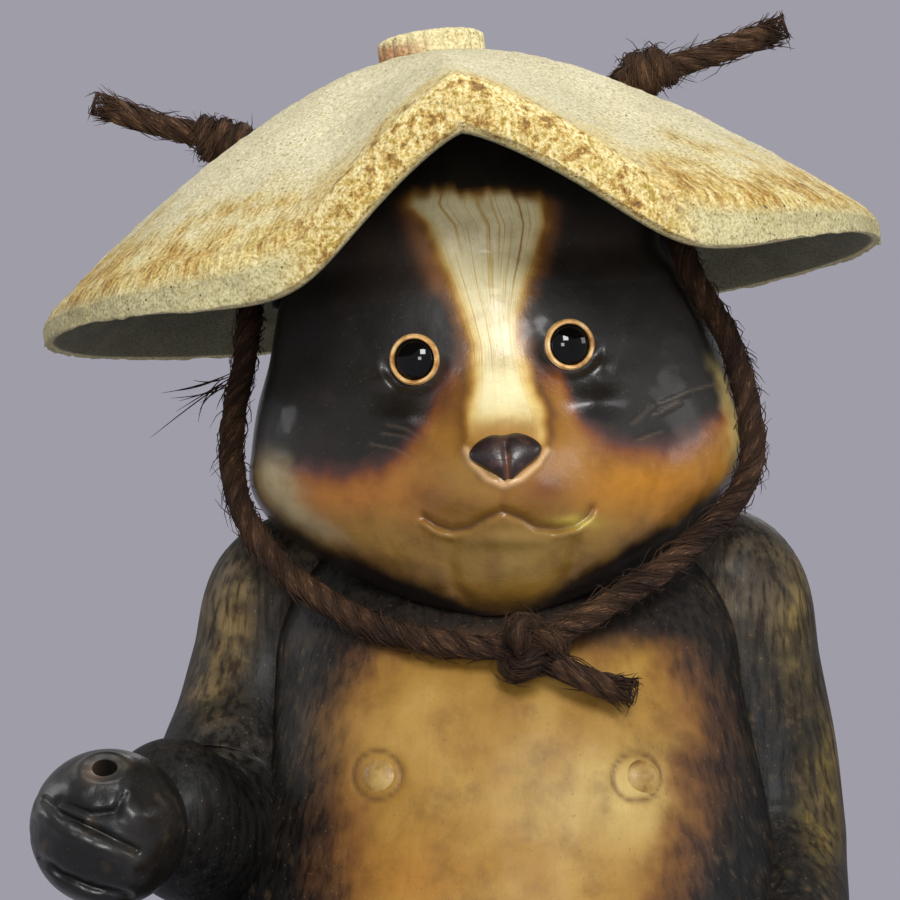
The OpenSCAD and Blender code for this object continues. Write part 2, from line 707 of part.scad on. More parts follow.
// Chin knot: where the two straps are tied in front of the chest
module chin_knot() color(fibre_brown) translate(chin_knot_at) sphere(r = chin_knot_r, $fn = 48);

torso();
head();
right_ear();
left_ear();
right_eye_ring();
left_eye_ring();
right_eyeball();
left_eyeball();
nose();
right_chest_stud();
left_chest_stud();
right_arm();
right_fist();
left_arm();
left_hand();
right_foot();
left_foot();
tail();
hat_shell();
hat_knob();
right_top_knot();
left_top_knot();
right_top_tail();
left_top_tail();
right_strap();
left_strap();
chin_knot();
chin_tail();
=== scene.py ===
import math
import random

import bpy
import numpy as np
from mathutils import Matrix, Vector, noise


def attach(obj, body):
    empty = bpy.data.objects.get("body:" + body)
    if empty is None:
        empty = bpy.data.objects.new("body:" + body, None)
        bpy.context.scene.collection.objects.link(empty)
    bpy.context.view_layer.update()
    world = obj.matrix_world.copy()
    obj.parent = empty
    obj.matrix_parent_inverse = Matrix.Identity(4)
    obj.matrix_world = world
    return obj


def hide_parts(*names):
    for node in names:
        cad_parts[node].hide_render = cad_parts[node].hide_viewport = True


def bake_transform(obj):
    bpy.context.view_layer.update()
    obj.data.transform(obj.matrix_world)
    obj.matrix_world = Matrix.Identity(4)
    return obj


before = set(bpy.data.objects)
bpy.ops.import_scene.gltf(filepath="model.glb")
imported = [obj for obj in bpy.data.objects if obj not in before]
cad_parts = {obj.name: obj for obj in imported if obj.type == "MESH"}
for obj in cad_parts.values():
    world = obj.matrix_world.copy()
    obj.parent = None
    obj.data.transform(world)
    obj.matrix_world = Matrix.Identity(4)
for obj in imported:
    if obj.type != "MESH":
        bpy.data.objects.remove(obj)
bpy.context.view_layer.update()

# Camera
# The statue was photographed level with its face, from about 1.4 m in front and a little to
# its right, so near that only the hat, the head, the chest and the raised fist are in the frame.
camera_at = Vector((-0.0205, -1.4, 0.3488))
frame_width = 0.324
frame_pixels = 900
bpy.ops.object.camera_add(location=camera_at, rotation=(math.radians(90), 0, 0))
camera = bpy.context.object
camera.data.sensor_width = 36
camera.data.lens = camera.data.sensor_width * -camera_at.y / frame_width
bpy.context.scene.camera = camera
bpy.context.scene.view_settings.view_transform = "Standard"


# Rope
# A three-strand rope of dark brown palm fibre, laid by hand and about 8.5 mm thick. It ties the hat
# on: two straps come down from the hat's holes, follow the cheeks and meet in a knot on the chest.
rope_thick = 0.0085
strand_radius = 0.0027
strand_out = 0.0016
lay_pitch = 0.030
right_strap_route = [
    (-0.09705, 0.01995, 0.4401), (-0.09665, 0.01975, 0.4371), (-0.0957, 0.0185, 0.430),
    (-0.094, 0.013, 0.416), (-0.0925, 0.004, 0.401), (-0.0935, -0.006, 0.384),
    (-0.097, -0.013, 0.364), (-0.098, -0.019, 0.346), (-0.094, -0.028, 0.328),
    (-0.083, -0.038, 0.312), (-0.067, -0.052, 0.299), (-0.047, -0.067, 0.289),
    (-0.027, -0.079, 0.284), (-0.012, -0.084, 0.282), (-0.002, -0.085, 0.282)
]
left_strap_route = [
    (0.04815, 0.00515, 0.4634), (0.0485, 0.00495, 0.4604), (0.052, 0.001, 0.454),
    (0.056, -0.006, 0.444), (0.059, -0.013, 0.434), (0.061, -0.021, 0.423),
    (0.066, -0.030, 0.408), (0.075, -0.035, 0.392), (0.081, -0.037, 0.377),
    (0.0845, -0.040, 0.361), (0.085, -0.0435, 0.345), (0.079, -0.047, 0.332),
    (0.067, -0.056, 0.319), (0.050, -0.066, 0.306), (0.033, -0.076, 0.296),
    (0.022, -0.081, 0.2895), (0.0145, -0.084, 0.2855)
]
chin_tail_route = [
    (0.015, -0.088, 0.277), (0.022, -0.090, 0.273), (0.030, -0.089, 0.270), (0.038, -0.087, 0.268)
]
right_top_tail_route = [
    (-0.1035, 0.022, 0.462), (-0.117, 0.021, 0.465), (-0.132, 0.019, 0.469), (-0.147, 0.017, 0.474)
]
left_top_tail_route = [
    (0.055, 0.006, 0.486), (0.069, 0.005, 0.490), (0.083, 0.003, 0.495), (0.097, 0.001, 0.500)
]


def colour(code):
    """The linear colour of an sRGB hex value, as the shaders take it."""
    parts = [int(code[i:i + 2], 16) / 255 for i in (1, 3, 5)]
    return [c / 12.92 if c <= 0.04045 else ((c + 0.055) / 1.055) ** 2.4 for c in parts] + [1]


def add(material, kind, settings=(), links=()):
    """Adds a node to a material, with its settings and its links by socket name or number. The
    stops of a ramp are places with sRGB codes."""
    node = material.node_tree.nodes.new("ShaderNode" + kind)
    for key, value in dict(settings).items():
        if key == "stops":
            ramp = node.color_ramp
            while len(ramp.elements) < len(value):
                ramp.elements.new(0.5)
            for element, (place, tone) in zip(ramp.elements, value):
                element.position = place
                element.color = colour(tone)
        elif isinstance(key, int) or key in node.inputs:
            node.inputs[key].default_value = value
        else:
            setattr(node, key, value)
    for key, source in dict(links).items():
        material.node_tree.links.new(source, node.inputs[key])
    return node


def new_material(name):
    """A material with an empty tree."""
    material = bpy.data.materials.new(name)
    material.use_nodes = True
    material.node_tree.nodes.clear()
    return material


def new_piece(name, points, faces, material):
    """A piece of that name from points and faces, smooth all over."""
    mesh = bpy.data.meshes.new(name)
    mesh.from_pydata([tuple(p) for p in points], [], faces)
    mesh.materials.append(material)
    mesh.shade_smooth()
    piece = bpy.data.objects.new(name, mesh)
    bpy.context.collection.objects.link(piece)
    return piece


def smooth_route(route, step):
    """Points on a smooth curve through a route, about a step apart."""
    p = [np.array(q, float) for q in route]
    p = [2 * p[0] - p[1]] + p + [2 * p[-1] - p[-2]]
    points = []
    for i in range(1, len(p) - 2):
        count = max(1, round(np.linalg.norm(p[i + 1] - p[i]) / step))
        for k in range(count):
            t = k / count
            points.append(
                p[i] + (p[i + 1] - p[i - 1]) * t / 2
                + (2 * p[i - 1] - 5 * p[i] + 4 * p[i + 1] - p[i + 2]) * t ** 2 / 2
                + (3 * p[i] - p[i - 1] - 3 * p[i + 1] + p[i + 2]) * t ** 3 / 2
            )
    points.append(p[-2])
    return np.array(points)


def frames(path):
    """Direction and two square directions at each point of a path, carried without twist."""
    heading = np.gradient(path, axis=0)
    heading /= np.linalg.norm(heading, axis=1)[:, None]
    start = np.cross(heading[0], (0, 0, 1) if abs(heading[0][2]) < 0.9 else (0, 1, 0))
    side = [start / np.linalg.norm(start)]
    for h in heading[1:]:
        s = side[-1] - h * np.dot(side[-1], h)
        side.append(s / np.linalg.norm(s))
    side = np.array(side)
    return heading, side, np.cross(heading, side)


def rings(centres, side, up, radii, sides):
    """Points of round rings about centres."""
    a = np.linspace(0, 2 * math.pi, sides, endpoint=False)
    r = np.asarray(radii).reshape(len(centres), -1)
    return (
        centres[:, None] + r[:, :, None] * (
            np.cos(a)[None, :, None] * side[:, None] + np.sin(a)[None, :, None] * up[:, None]
        )
    ).reshape(-1, 3)


def tube_faces(count, sides, first):
    """Faces of a tube of so many rings, closed at both ends."""
    faces = [tuple(first + k for k in reversed(range(sides)))]
    for i in range(count - 1):
        for k in range(sides):
            a, b = first + i * sides + k, first + i * sides + (k + 1) % sides
            faces.append((a, b, b + sides, a + sides))
    faces.append(tuple(first + (count - 1) * sides + k for k in range(sides)))
    return faces


def laid_rope(path, thick=1.0, turn=0.0, frayed=0):
    """Points, faces and lengths of three strands laid round each other along a path."""
    side, up = frames(path)[1:]
    run = np.concatenate([[0], np.cumsum(np.linalg.norm(np.diff(path, axis=0), axis=1))])
    points, faces, along = [], [], []
    sides = 14
    for strand in range(3):
        phase = 2 * math.pi * (strand / 3 + run / lay_pitch) + turn
        open_out = 1 + frayed * np.clip((run - run[-1] + 0.016) / 0.016, 0, 1)
        centre = path + thick * strand_out * open_out[:, None] * (
            np.cos(phase)[:, None] * side + np.sin(phase)[:, None] * up
        )
        worn = np.array([
            [1 + 0.13 * noise.noise(Vector((s * 60, k * 1.3, strand * 7.0 + turn)))
             + 0.09 * noise.noise(Vector((s * 400, k * 2.1, strand * 3.0 + turn)))
             for k in range(sides)]
            for s in run
        ])
        worn[:, -1] = (worn[:, -2] + worn[:, 0]) / 2
        if frayed:
            worn *= 1 - 0.55 * np.clip((run - run[-1] + 0.006) / 0.006, 0, 1)[:, None]
        s1, s2 = frames(centre)[1:]
        first = sum(len(p) for p in points)
        points.append(rings(centre, s1, s2, thick * strand_radius * worn, sides))
        faces += tube_faces(len(centre), sides, first)
        along.append(np.repeat(run, sides))
    return np.concatenate(points), faces, np.concatenate(along)


def fibre_uv(piece, along, sides=14):
    """A UV map that runs along the rope and round each strand, in millimetres."""
    layer = piece.data.uv_layers.new(name="fibre")
    index = np.empty(len(piece.data.loops), int)
    piece.data.loops.foreach_get("vertex_index", index)
    uv = np.stack([along[index] * 1000, (index % sides) * 18 / sides], axis=1)
    layer.data.foreach_set("uv", uv.astype(np.float32).ravel())


# Palm fibre: coarse hairs a few tenths of a millimetre thick, twisted while wet and dried dark
# brown, so that the rope is matt, streaked along its strands and hairy at its edges
palm_fibre = new_material("palm_fibre")
uv = add(palm_fibre, "UVMap", {"uv_map": "fibre"})
hair_lay = add(palm_fibre, "Mapping", {"Scale": (0.11, 1.3, 1)}, {"Vector": uv.outputs["UV"]})
hairs = add(palm_fibre, "TexNoise", {"Scale": 2.2, "Detail": 4, "Roughness": 0.65},
            {"Vector": hair_lay.outputs["Vector"]})
place = add(palm_fibre, "TexCoord")
patches = add(palm_fibre, "TexNoise", {"Scale": 45, "Detail": 3},
              {"Vector": place.outputs["Object"]})
hair_tone = add(palm_fibre, "ValToRGB", {"stops": [
    (0.30, "#120b07"), (0.44, "#332013"), (0.56, "#654428"),
    (0.70, "#b88b56")
]}, {"Fac": hairs.outputs["Fac"]})
shade = add(palm_fibre, "ValToRGB", {"stops": [(0.35, "#9c8f86"), (0.7, "#ffffff")]},
            {"Fac": patches.outputs["Fac"]})
tone = add(palm_fibre, "Mix", {"data_type": "RGBA", "blend_type": "MULTIPLY", 0: 1.0},
           {6: hair_tone.outputs["Color"], 7: shade.outputs["Color"]})
raised = add(palm_fibre, "Bump", {"Strength": 0.9, "Distance": 0.0006},
             {"Height": hairs.outputs["Fac"]})
shader = add(palm_fibre, "BsdfPrincipled", {"Roughness": 0.78, "Specular IOR Level": 0.35},
             {"Base Color": tone.outputs[2], "Normal": raised.outputs["Normal"]})
add(palm_fibre, "OutputMaterial", {}, {"Surface": shader.outputs["BSDF"]})


def loose_fibres(name, path, count, seed, tuft=None, brush=0):
    """Fibres that lie along a stretch of rope in its twist and lift off at their ends, each a thin
    three-sided taper, a tuft of longer ones at one place that point one way, and a brush of short
    ones that spread out at the rope's cut end."""
    chance = random.Random(seed)
    heading, side, up = frames(path)
    spacing = path_length(path) / (len(path) - 1)
    steps = np.linspace(0, 1, 7)
    points, faces, along = [], [], []
    for number in range(count):
        way = chance.choice((-1, 1))
        first = chance.randrange(len(path))
        length = chance.uniform(0.008, 0.026)
        a = chance.uniform(0, 2 * math.pi)
        twist = chance.uniform(120, 230)
        lift = 0.0045 * chance.random() ** 4
        curl = np.array([chance.uniform(-1, 1) for _ in range(3)]) * chance.random() ** 2
        line = []
        for t in steps:
            place = first + way * t * length / spacing
            i = int(min(max(place, 0), len(path) - 1))
            past = (place - i) * spacing if i in (0, len(path) - 1) else 0
            past = max(-0.0035, min(0.0035, past))
            turned = a + way * twist * t * length
            out = math.cos(turned) * side[i] + math.sin(turned) * up[i]
            line.append(path[i] + heading[i] * past + out * (rope_thick * 0.455 + lift * t ** 2)
                        + curl * 0.003 * t ** 3)
        points.append(line)
    if tuft is not None:
        at, towards, hairs = tuft
        for number in range(hairs):
            reach = chance.uniform(0.010, 0.024)
            bend = np.array([chance.uniform(-0.35, 0.35) for _ in range(3)])
            start = np.array(at) + np.array([chance.uniform(-0.003, 0.003) for _ in range(3)])
            points.append([start + (np.array(towards) + bend * (0.4 + t)) * reach * t
                           for t in steps])
    for _ in range(brush):
        a = chance.uniform(0, 2 * math.pi)
        out = math.cos(a) * side[-8] + math.sin(a) * up[-8]
        reach = chance.uniform(0.006, 0.0125)
        spread = chance.uniform(0.0, 0.0032)
        inside = rope_thick * 0.48 * chance.random() ** 0.5
        curl = np.array([chance.uniform(-1, 1) for _ in range(3)]) * 0.0014
        points.append([path[-8] + heading[-8] * reach * t + out * (inside + spread * t ** 2)
                       + curl * t ** 2 for t in steps])
    thick = [0.00016, 0.00024, 0.00026, 0.00026, 0.00022, 0.00016, 0.00006]
    rows = []
    for number, line in enumerate(points):
        s1, s2 = frames(np.array(line) + np.linspace(0, 1e-6, 7)[:, None])[1:]
        rows.append(rings(np.array(line), s1, s2, thick, 3))
        faces += tube_faces(7, 3, number * 21)
        along.append(np.repeat(steps * 0.01 + number * 0.013, 3))
    piece = new_piece(name, np.concatenate(rows), faces, palm_fibre)
    fibre_uv(piece, np.concatenate(along), 3)
    return piece


def path_length(path):
    return float(np.linalg.norm(np.diff(path, axis=0), axis=1).sum())


def tied_knot(name, centre, axis, size):
    """An overhand knot pulled tight: one laid rope that passes round and through itself."""
    t = np.linspace(0, 2 * math.pi, 150)
    loop = np.stack([
        np.sin(t) + 1.55 * np.sin(2 * t),
        np.cos(t) - 1.55 * np.cos(2 * t),
        -1.25 * np.sin(3 * t)
    ], axis=1) * size
    z = np.array(axis, float) / np.linalg.norm(axis)
    x = np.cross((0, 1, 0), z)
    x /= np.linalg.norm(x)
    loop = np.array(centre) + loop @ np.array([x, np.cross(z, x), z])
    points, faces, along = laid_rope(loop, 0.9)
    piece = new_piece(name, points, faces, palm_fibre)
    fibre_uv(piece, along)
    return piece, loop


def wrapped_knot(name, hole, centre, towards, turns=2.3, wide=0.0056, long=0.0155):
    """A stopper knot: the rope comes up its hole, wraps round itself and leaves along its tail."""
    axis = np.array(towards, float) / np.linalg.norm(towards)
    x = np.cross(axis, (0, 1, 0))
    x /= np.linalg.norm(x)
    y = np.cross(axis, x)
    t = np.linspace(0, 1, 90)
    a = math.pi / 2 + t * turns * 2 * math.pi
    r = wide * (1 - 0.38 * t ** 1.5) * (1 + 0.10 * np.sin(a * 1.7))
    wraps = np.array(centre) + axis * ((t - 0.42) * long)[:, None] + r[:, None] * (
        np.cos(a)[:, None] * x + np.sin(a)[:, None] * y
    )
    rise = smooth_route(list(hole) + [wraps[0]], 0.0015)[:-1]
    points, faces, along = laid_rope(np.concatenate([rise, wraps]), 0.93)
    core = np.array(centre) + axis * np.linspace(-0.55, 0.75, 24)[:, None] * long
    p2, f2, a2 = laid_rope(core, 0.9, 1.0)
    faces += [tuple(k + len(points) for k in f) for f in f2]
    piece = new_piece(name, np.concatenate([points, p2]), faces, palm_fibre)
    fibre_uv(piece, np.concatenate([along, a2]))
    return piece, wraps


def rope_piece(name, route, frayed=0, turn=0.0):
    """A stretch of the laid rope along a route."""
    path = smooth_route(route, 0.0012)
    points, faces, along = laid_rope(path, 1.0, turn, frayed)
    piece = new_piece(name, points, faces, palm_fibre)
    fibre_uv(piece, along)
    return piece, path


right_strap, right_path = rope_piece("right_strap_rope", right_strap_route)
left_strap, left_path = rope_piece("left_strap_rope", left_strap_route, turn=1.0)
chin_tail, chin_tail_path = rope_piece("chin_tail_rope", chin_tail_route, frayed=0.55)
right_top_tail, right_top_path = rope_piece("right_top_tail_rope", right_top_tail_route, frayed=0.5)
left_top_tail, left_top_path = rope_piece("left_top_tail_rope", left_top_tail_route, frayed=0.5)
chin_knot, chin_loop = tied_knot("chin_knot_tied", (0.0065, -0.0865, 0.2815), (0.15, -0.95, 0.2), 0.0034)
right_top_knot, right_wraps = wrapped_knot(
    "right_top_knot_tied",
    [(-0.0971, 0.0200, 0.4405), (-0.0979, 0.0204, 0.4470), (-0.0988, 0.0208, 0.4540)],
    (-0.1025, 0.0210, 0.4610), (-1, -0.06, 0.26)
)
left_top_knot, left_wraps = wrapped_knot(
    "left_top_knot_tied",
    [(0.0481, 0.0052, 0.4638), (0.0472, 0.0056, 0.4705), (0.0464, 0.0060, 0.4774)],
    (0.0490, 0.0064, 0.4848), (1, -0.10, 0.34)
)
# a tuft of 11 long hairs sticks out and down from the right strap, beside the cheek
right_fibres = loose_fibres("right_strap_fibres", right_path, 1500, 3,
                            ((-0.1005, -0.010, 0.374), (-0.80, -0.15, -0.50), 11))
left_fibres = loose_fibres("left_strap_fibres", left_path, 1500, 4)
chin_fibres = loose_fibres(
    "chin_fibres", np.concatenate([chin_loop, chin_tail_path]), 800, 5, brush=110
)
right_top_fibres = loose_fibres(
    "right_top_fibres", np.concatenate([right_wraps, right_top_path]), 800, 6, brush=130
)
left_top_fibres = loose_fibres(
    "left_top_fibres", np.concatenate([left_wraps, left_top_path]), 800, 7, brush=130
)

for piece, node in (
    (right_strap, "right_strap"), (left_strap, "left_strap"), (chin_tail, "chin_tail"),
    (chin_knot, "chin_knot"), (right_top_knot, "right_top_knot"), (left_top_knot, "left_top_knot"),
    (right_top_tail, "right_top_tail"), (left_top_tail, "left_top_tail")
):
    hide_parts(node)
for piece in (chin_tail, chin_knot, chin_fibres):
    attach(piece, "figure")
for piece in (right_top_knot, left_top_knot, right_top_tail, left_top_tail, right_top_fibres,
              left_top_fibres):
    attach(piece, "hat")
for piece in (right_strap, right_fibres):
    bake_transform(piece)
for piece in (left_strap, left_fibres):
    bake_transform(piece)


# Body
# A thick-walled body built up by hand in stoneware clay, closed below by a floor with a vent hole.
# A dark iron glaze covers it, and an ochre glaze was rubbed over the chest and belly, where it
# ran into the dark one in soft red-brown edges.
body_stations = np.array([
    (0, 88, -80, 74), (12, 94, -90, 82), (45, 109, -108, 92), (100, 118, -122, 96),
    (140, 117, -124, 94), (185, 104, -114, 87), (225, 94, -99, 78), (260, 86, -86, 70),
    (288, 84, -69, 62), (308, 78, -48, 56), (322, 66, -28, 48), (332, 44, -8, 36), (336, 20, 2, 26)
]) / 1000
shoulder_height = 0.336


def soft(start, end, x):
    """A smooth step from 0 at the start to 1 at the end."""
    t = np.clip((x - start) / (end - start), 0, 1)
    return t * t * (3 - 2 * t)


def along(stations, x, column):
    """The smooth curve through one column of a form's stations, at the places x."""
    s, c = stations[:, 0], stations[:, column]
    slope = np.empty(len(s))
    slope[1:-1] = (c[2:] - c[:-2]) / (s[2:] - s[:-2])
    slope[0], slope[-1] = (c[1] - c[0]) / (s[1] - s[0]), (c[-1] - c[-2]) / (s[-1] - s[-2])
    i = np.clip(np.searchsorted(s, x, side="right") - 1, 0, len(s) - 2)
    h = s[i + 1] - s[i]
    t = np.clip((x - s[i]) / h, 0, 1)
    return (
        (2 * t ** 3 - 3 * t ** 2 + 1) * c[i] + (t ** 3 - 2 * t ** 2 + t) * h * slope[i]
        + (3 * t ** 2 - 2 * t ** 3) * c[i + 1] + (t ** 3 - t ** 2) * h * slope[i + 1]
    )


def oval(angle, middle, half, front, back, power=0.9):
    """Points of a rounded oval, to the side and to the back."""
    c, s = np.cos(angle), np.sin(angle)
    return (
        middle + half * np.sign(c) * np.abs(c) ** power,
        (front + back) / 2 + (back - front) / 2 * np.sign(s) * np.abs(s) ** power
    )


def points_of(piece):
    co = np.empty(len(piece.data.vertices) * 3)
    piece.data.vertices.foreach_get("co", co)
    return co.reshape(-1, 3)


def move_points(piece, co):
    piece.data.vertices.foreach_set("co", np.asarray(co, float).ravel())
    piece.data.update()


def fuller_in_front(angle, share):
    """Angles drawn together at the front, where the finest relief and paint are."""
    from_front = (angle + math.pi / 2 + math.pi) % (2 * math.pi) - math.pi
    return from_front - share * np.sin(from_front) - math.pi / 2


def clay_ball(name, segments, rows, material):
    """A ball of so many segments and rows, with the angle of each of its points and their rise,
    which goes from 0 at the lower pole to 1 at the upper one."""
    bpy.ops.object.select_all(action="DESELECT")
    bpy.ops.mesh.primitive_uv_sphere_add(segments=segments, ring_count=rows, radius=1)
    piece = bpy.context.object
    piece.name = piece.data.name = name
    piece.data.materials.append(material)
    piece.data.shade_smooth()
    ball = points_of(piece)
    angle = np.arctan2(ball[:, 1], ball[:, 0])
    return piece, angle, 1 - np.arccos(np.clip(ball[:, 2], -1, 1)) / math.pi


def pressed_form(name, segments, rows, place, material):
    """A closed form: a ball with each of its points pushed to its place by its angle and rise."""
    piece, angle, rise = clay_ball(name, segments, rows, material)
    move_points(piece, place(angle, rise))
    return piece


def in_frame(co):
    """Where points show in the photograph's frame, across and down in its pixels."""
    near = -camera_at.y / (co[:, 1] - camera_at.y) * frame_pixels / frame_width
    middle = frame_pixels / 2
    return middle + (co[:, 0] - camera_at.x) * near, middle - (co[:, 2] - camera_at.z) * near


def wander(co, size, seed=0.0, octaves=3):
    """Slow noise over points, about -1 to 1, with patches of that size."""
    return np.array([noise.fractal(Vector(c) / size + Vector((seed, 0, 0)), 1.0, 2.0, octaves)
                     for c in co])


def plain_paint(co, code):
    """One colour on all points."""
    return np.tile(np.array(colour(code)), (len(co), 1))


def layer(paint, mask, code):
    """Paint with a colour laid over it as far as the mask goes."""
    mask = np.clip(mask, 0, 1)[:, None]
    return paint * (1 - mask) + np.array(colour(code))[None, :] * mask


def keep_paint(piece, paint, extra=None):
    """Stores a paint on a piece's points, with an extra measure in its fourth channel."""
    paint = np.array(paint)
    paint[:, 3] = 1 if extra is None else extra
    store = piece.data.attributes.new("paint", "FLOAT_COLOR", "POINT")
    store.data.foreach_set("color", paint.astype(np.float32).ravel())


def paint_over(paint, share, layers):
    """Paint with layers over it, each a mask and a colour, as far as the share goes."""
    for mask, code in layers:
        paint = layer(paint, share * mask, code)
    return paint


def settle(piece, node, body="figure"):
    """Has a piece stand for a node and ride with its body."""
    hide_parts(node)
    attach(piece, body)


def mound(across, down, x, y, wide, high):
    """A soft round mark at a place in the frame, 1 at its middle."""
    return np.exp(-((across - x) / wide) ** 2 - ((down - y) / high) ** 2)


def line_mark(across, down, points, width):
    """A mark along a line through places in the frame, 1 on the line."""
    nearest = np.full(len(across), 1e9)
    for (x0, y0), (x1, y1) in zip(points, points[1:]):
        dx, dy = x1 - x0, y1 - y0
        t = np.clip(((across - x0) * dx + (down - y0) * dy) / (dx * dx + dy * dy), 0, 1)
        nearest = np.minimum(nearest, np.hypot(across - x0 - t * dx, down - y0 - t * dy))
    return np.exp(-(nearest / width) ** 2)


def body_place(angle, rise):
    angle = fuller_in_front(angle, 0.45)
    z = np.interp(rise, [0, 0.07, 0.95, 1], [0, 0, shoulder_height, shoulder_height])
    spread = np.interp(rise, [0, 0.07, 0.95, 1], [0, 1, 1, 0])
    x, y = oval(angle, 0, along(body_stations, z, 1), along(body_stations, z, 2),
                along(body_stations, z, 3))
    middle = (along(body_stations, z, 2) + along(body_stations, z, 3)) / 2
    return np.stack([x * spread, middle + (y - middle) * spread, z], axis=1)


# Glazed stoneware: glassy iron and ash glazes fired onto grogged clay, so that the surface is
# glossy but uneven, with small specks of iron and pale ash and a faint pitting
def glaze_material(name, gloss, speck=0.5, coat=0.1, clouding="#b9b0a6", sheen=0.5, streaks=False,
                   fur=False):
    material = new_material(name)
    paint = add(material, "Attribute", {"attribute_name": "paint"})
    place = add(material, "TexCoord")
    cloud = add(material, "TexNoise", {"Scale": 70, "Detail": 6, "Roughness": 0.62},
                {"Vector": place.outputs["Object"]})
    cloudy = add(material, "ValToRGB", {"stops": [
        (0.30, clouding), (0.50, "#f4f0ea"), (0.72, "#ffffff")
    ]}, {"Fac": cloud.outputs["Fac"]})
    tone = add(material, "Mix", {"data_type": "RGBA", "blend_type": "MULTIPLY", 0: 1.0},
               {6: paint.outputs["Color"], 7: cloudy.outputs["Color"]})
    grit = add(material, "TexNoise", {"Scale": 900, "Detail": 3, "Roughness": 0.7},
               {"Vector": place.outputs["Object"]})
    iron = add(material, "ValToRGB", {"stops": [
        (0.64, "#000000"), (0.74, "#ffffff")
    ]}, {"Fac": grit.outputs["Fac"]})
    iron_share = add(material, "Math", {"operation": "MULTIPLY", 1: speck},
                     {0: iron.outputs["Color"]})
    specked = add(material, "Mix", {"data_type": "RGBA", 7: colour("#4a2c17")},
                  {0: iron_share.outputs[0], 6: tone.outputs[2]})
    ash = add(material, "TexVoronoi", {"Scale": 330, "Randomness": 1.0},
              {"Vector": place.outputs["Object"]})
    ash_spot = add(material, "ValToRGB", {"stops": [
        (0.05, "#ffffff"), (0.16, "#000000")
    ]}, {"Fac": ash.outputs["Distance"]})
    ash_share = add(material, "Math", {"operation": "MULTIPLY", 1: 0.25 * speck},
                    {0: ash_spot.outputs["Color"]})
    final = add(material, "Mix", {"data_type": "RGBA", 7: colour("#a99468")},
                {0: ash_share.outputs[0], 6: specked.outputs[2]})
    height = cloud.outputs["Fac"]
    if streaks:
        grain = add(material, "Attribute", {"attribute_name": "grain"})
        groove = add(material, "TexNoise", {"Scale": 1.0, "Detail": 3, "Roughness": 0.6},
                     {"Vector": grain.outputs["Vector"]})
        dark = add(material, "ValToRGB", {"stops": [
            (0.34, "#a8743a"), (0.41, "#e6cc92"), (0.48, "#ffffff")
        ]}, {"Fac": groove.outputs["Fac"]})
        final = add(material, "Mix", {"data_type": "RGBA", "blend_type": "MULTIPLY"},
                    {0: paint.outputs["Alpha"], 6: final.outputs[2], 7: dark.outputs["Color"]})
        depth = add(material, "Math", {"operation": "MULTIPLY"},
                    {0: groove.outputs["Fac"], 1: paint.outputs["Alpha"]})
        height = add(material, "Math", {"operation": "MULTIPLY_ADD", 1: 1.3},
                     {0: depth.outputs[0], 2: cloud.outputs["Fac"]}).outputs[0]
    if fur:
        # strokes about 2 mm wide and 12 mm long that were tooled down the clay as fur
        lie = add(material, "Mapping", {"Scale": (1, 1, 0.17)}, {"Vector": place.outputs["Object"]})
        strokes = add(material, "TexNoise", {"Scale": 360, "Detail": 3, "Roughness": 0.6},
                      {"Vector": lie.outputs["Vector"]})
        stroke_tone = add(material, "ValToRGB", {"stops": [
            (0.36, "#8a7f74"), (0.56, "#ffffff")
        ]}, {"Fac": strokes.outputs["Fac"]})
        final = add(material, "Mix", {"data_type": "RGBA", "blend_type": "MULTIPLY"},
                    {0: paint.outputs["Alpha"], 6: final.outputs[2], 7: stroke_tone.outputs["Color"]})
        depth = add(material, "Math", {"operation": "MULTIPLY"},
                    {0: strokes.outputs["Fac"], 1: paint.outputs["Alpha"]})
        height = add(material, "Math", {"operation": "MULTIPLY_ADD", 1: 1.1},
                     {0: depth.outputs[0], 2: cloud.outputs["Fac"]}).outputs[0]
    fine = add(material, "Bump", {"Strength": 0.35, "Distance": 0.0003},
               {"Height": grit.outputs["Fac"]})
    broad = add(material, "Bump", {"Strength": 0.5, "Distance": 0.0011},
                {"Height": height, "Normal": fine.outputs["Normal"]})
    dull = add(material, "MapRange", {"To Min": gloss - 0.07, "To Max": gloss + 0.12},
               {"Value": cloud.outputs["Fac"]})
    matte = add(material, "Attribute", {"attribute_name": "matte"})
    duller = add(material, "Math", {"operation": "MULTIPLY_ADD", 1: 0.28},
                 {0: matte.outputs["Fac"], 2: dull.outputs["Result"]})
    shader = add(material, "BsdfPrincipled", {
        "IOR": 1.5, "Specular IOR Level": sheen, "Coat Weight": coat, "Coat Roughness": 0.15
    }, {"Base Color": final.outputs[2], "Roughness": duller.outputs[0],
        "Normal": broad.outputs["Normal"]})
    add(material, "OutputMaterial", {}, {"Surface": shader.outputs["BSDF"]})
    return material


body_glaze = glaze_material("iron_and_ochre_glaze", 0.54, 0.7, 0.02, "#cfc8be", sheen=0.2, fur=True)
body = pressed_form("body_shell", 360, 240, body_place, body_glaze)


def dark_clay(co, seed):
    """The dark glaze of the figure, mottled from black to brown and olive."""
    paint = plain_paint(co, "#161514")
    paint = layer(paint, soft(-0.2, 0.7, wander(co, 0.030, seed)), "#27211b")
    paint = layer(paint, soft(0.2, 0.9, wander(co, 0.012, seed + 5)) * 0.55, "#453829")
    return layer(paint, soft(0.35, 0.8, wander(co, 0.004, seed + 9)) * 0.45, "#63533a")


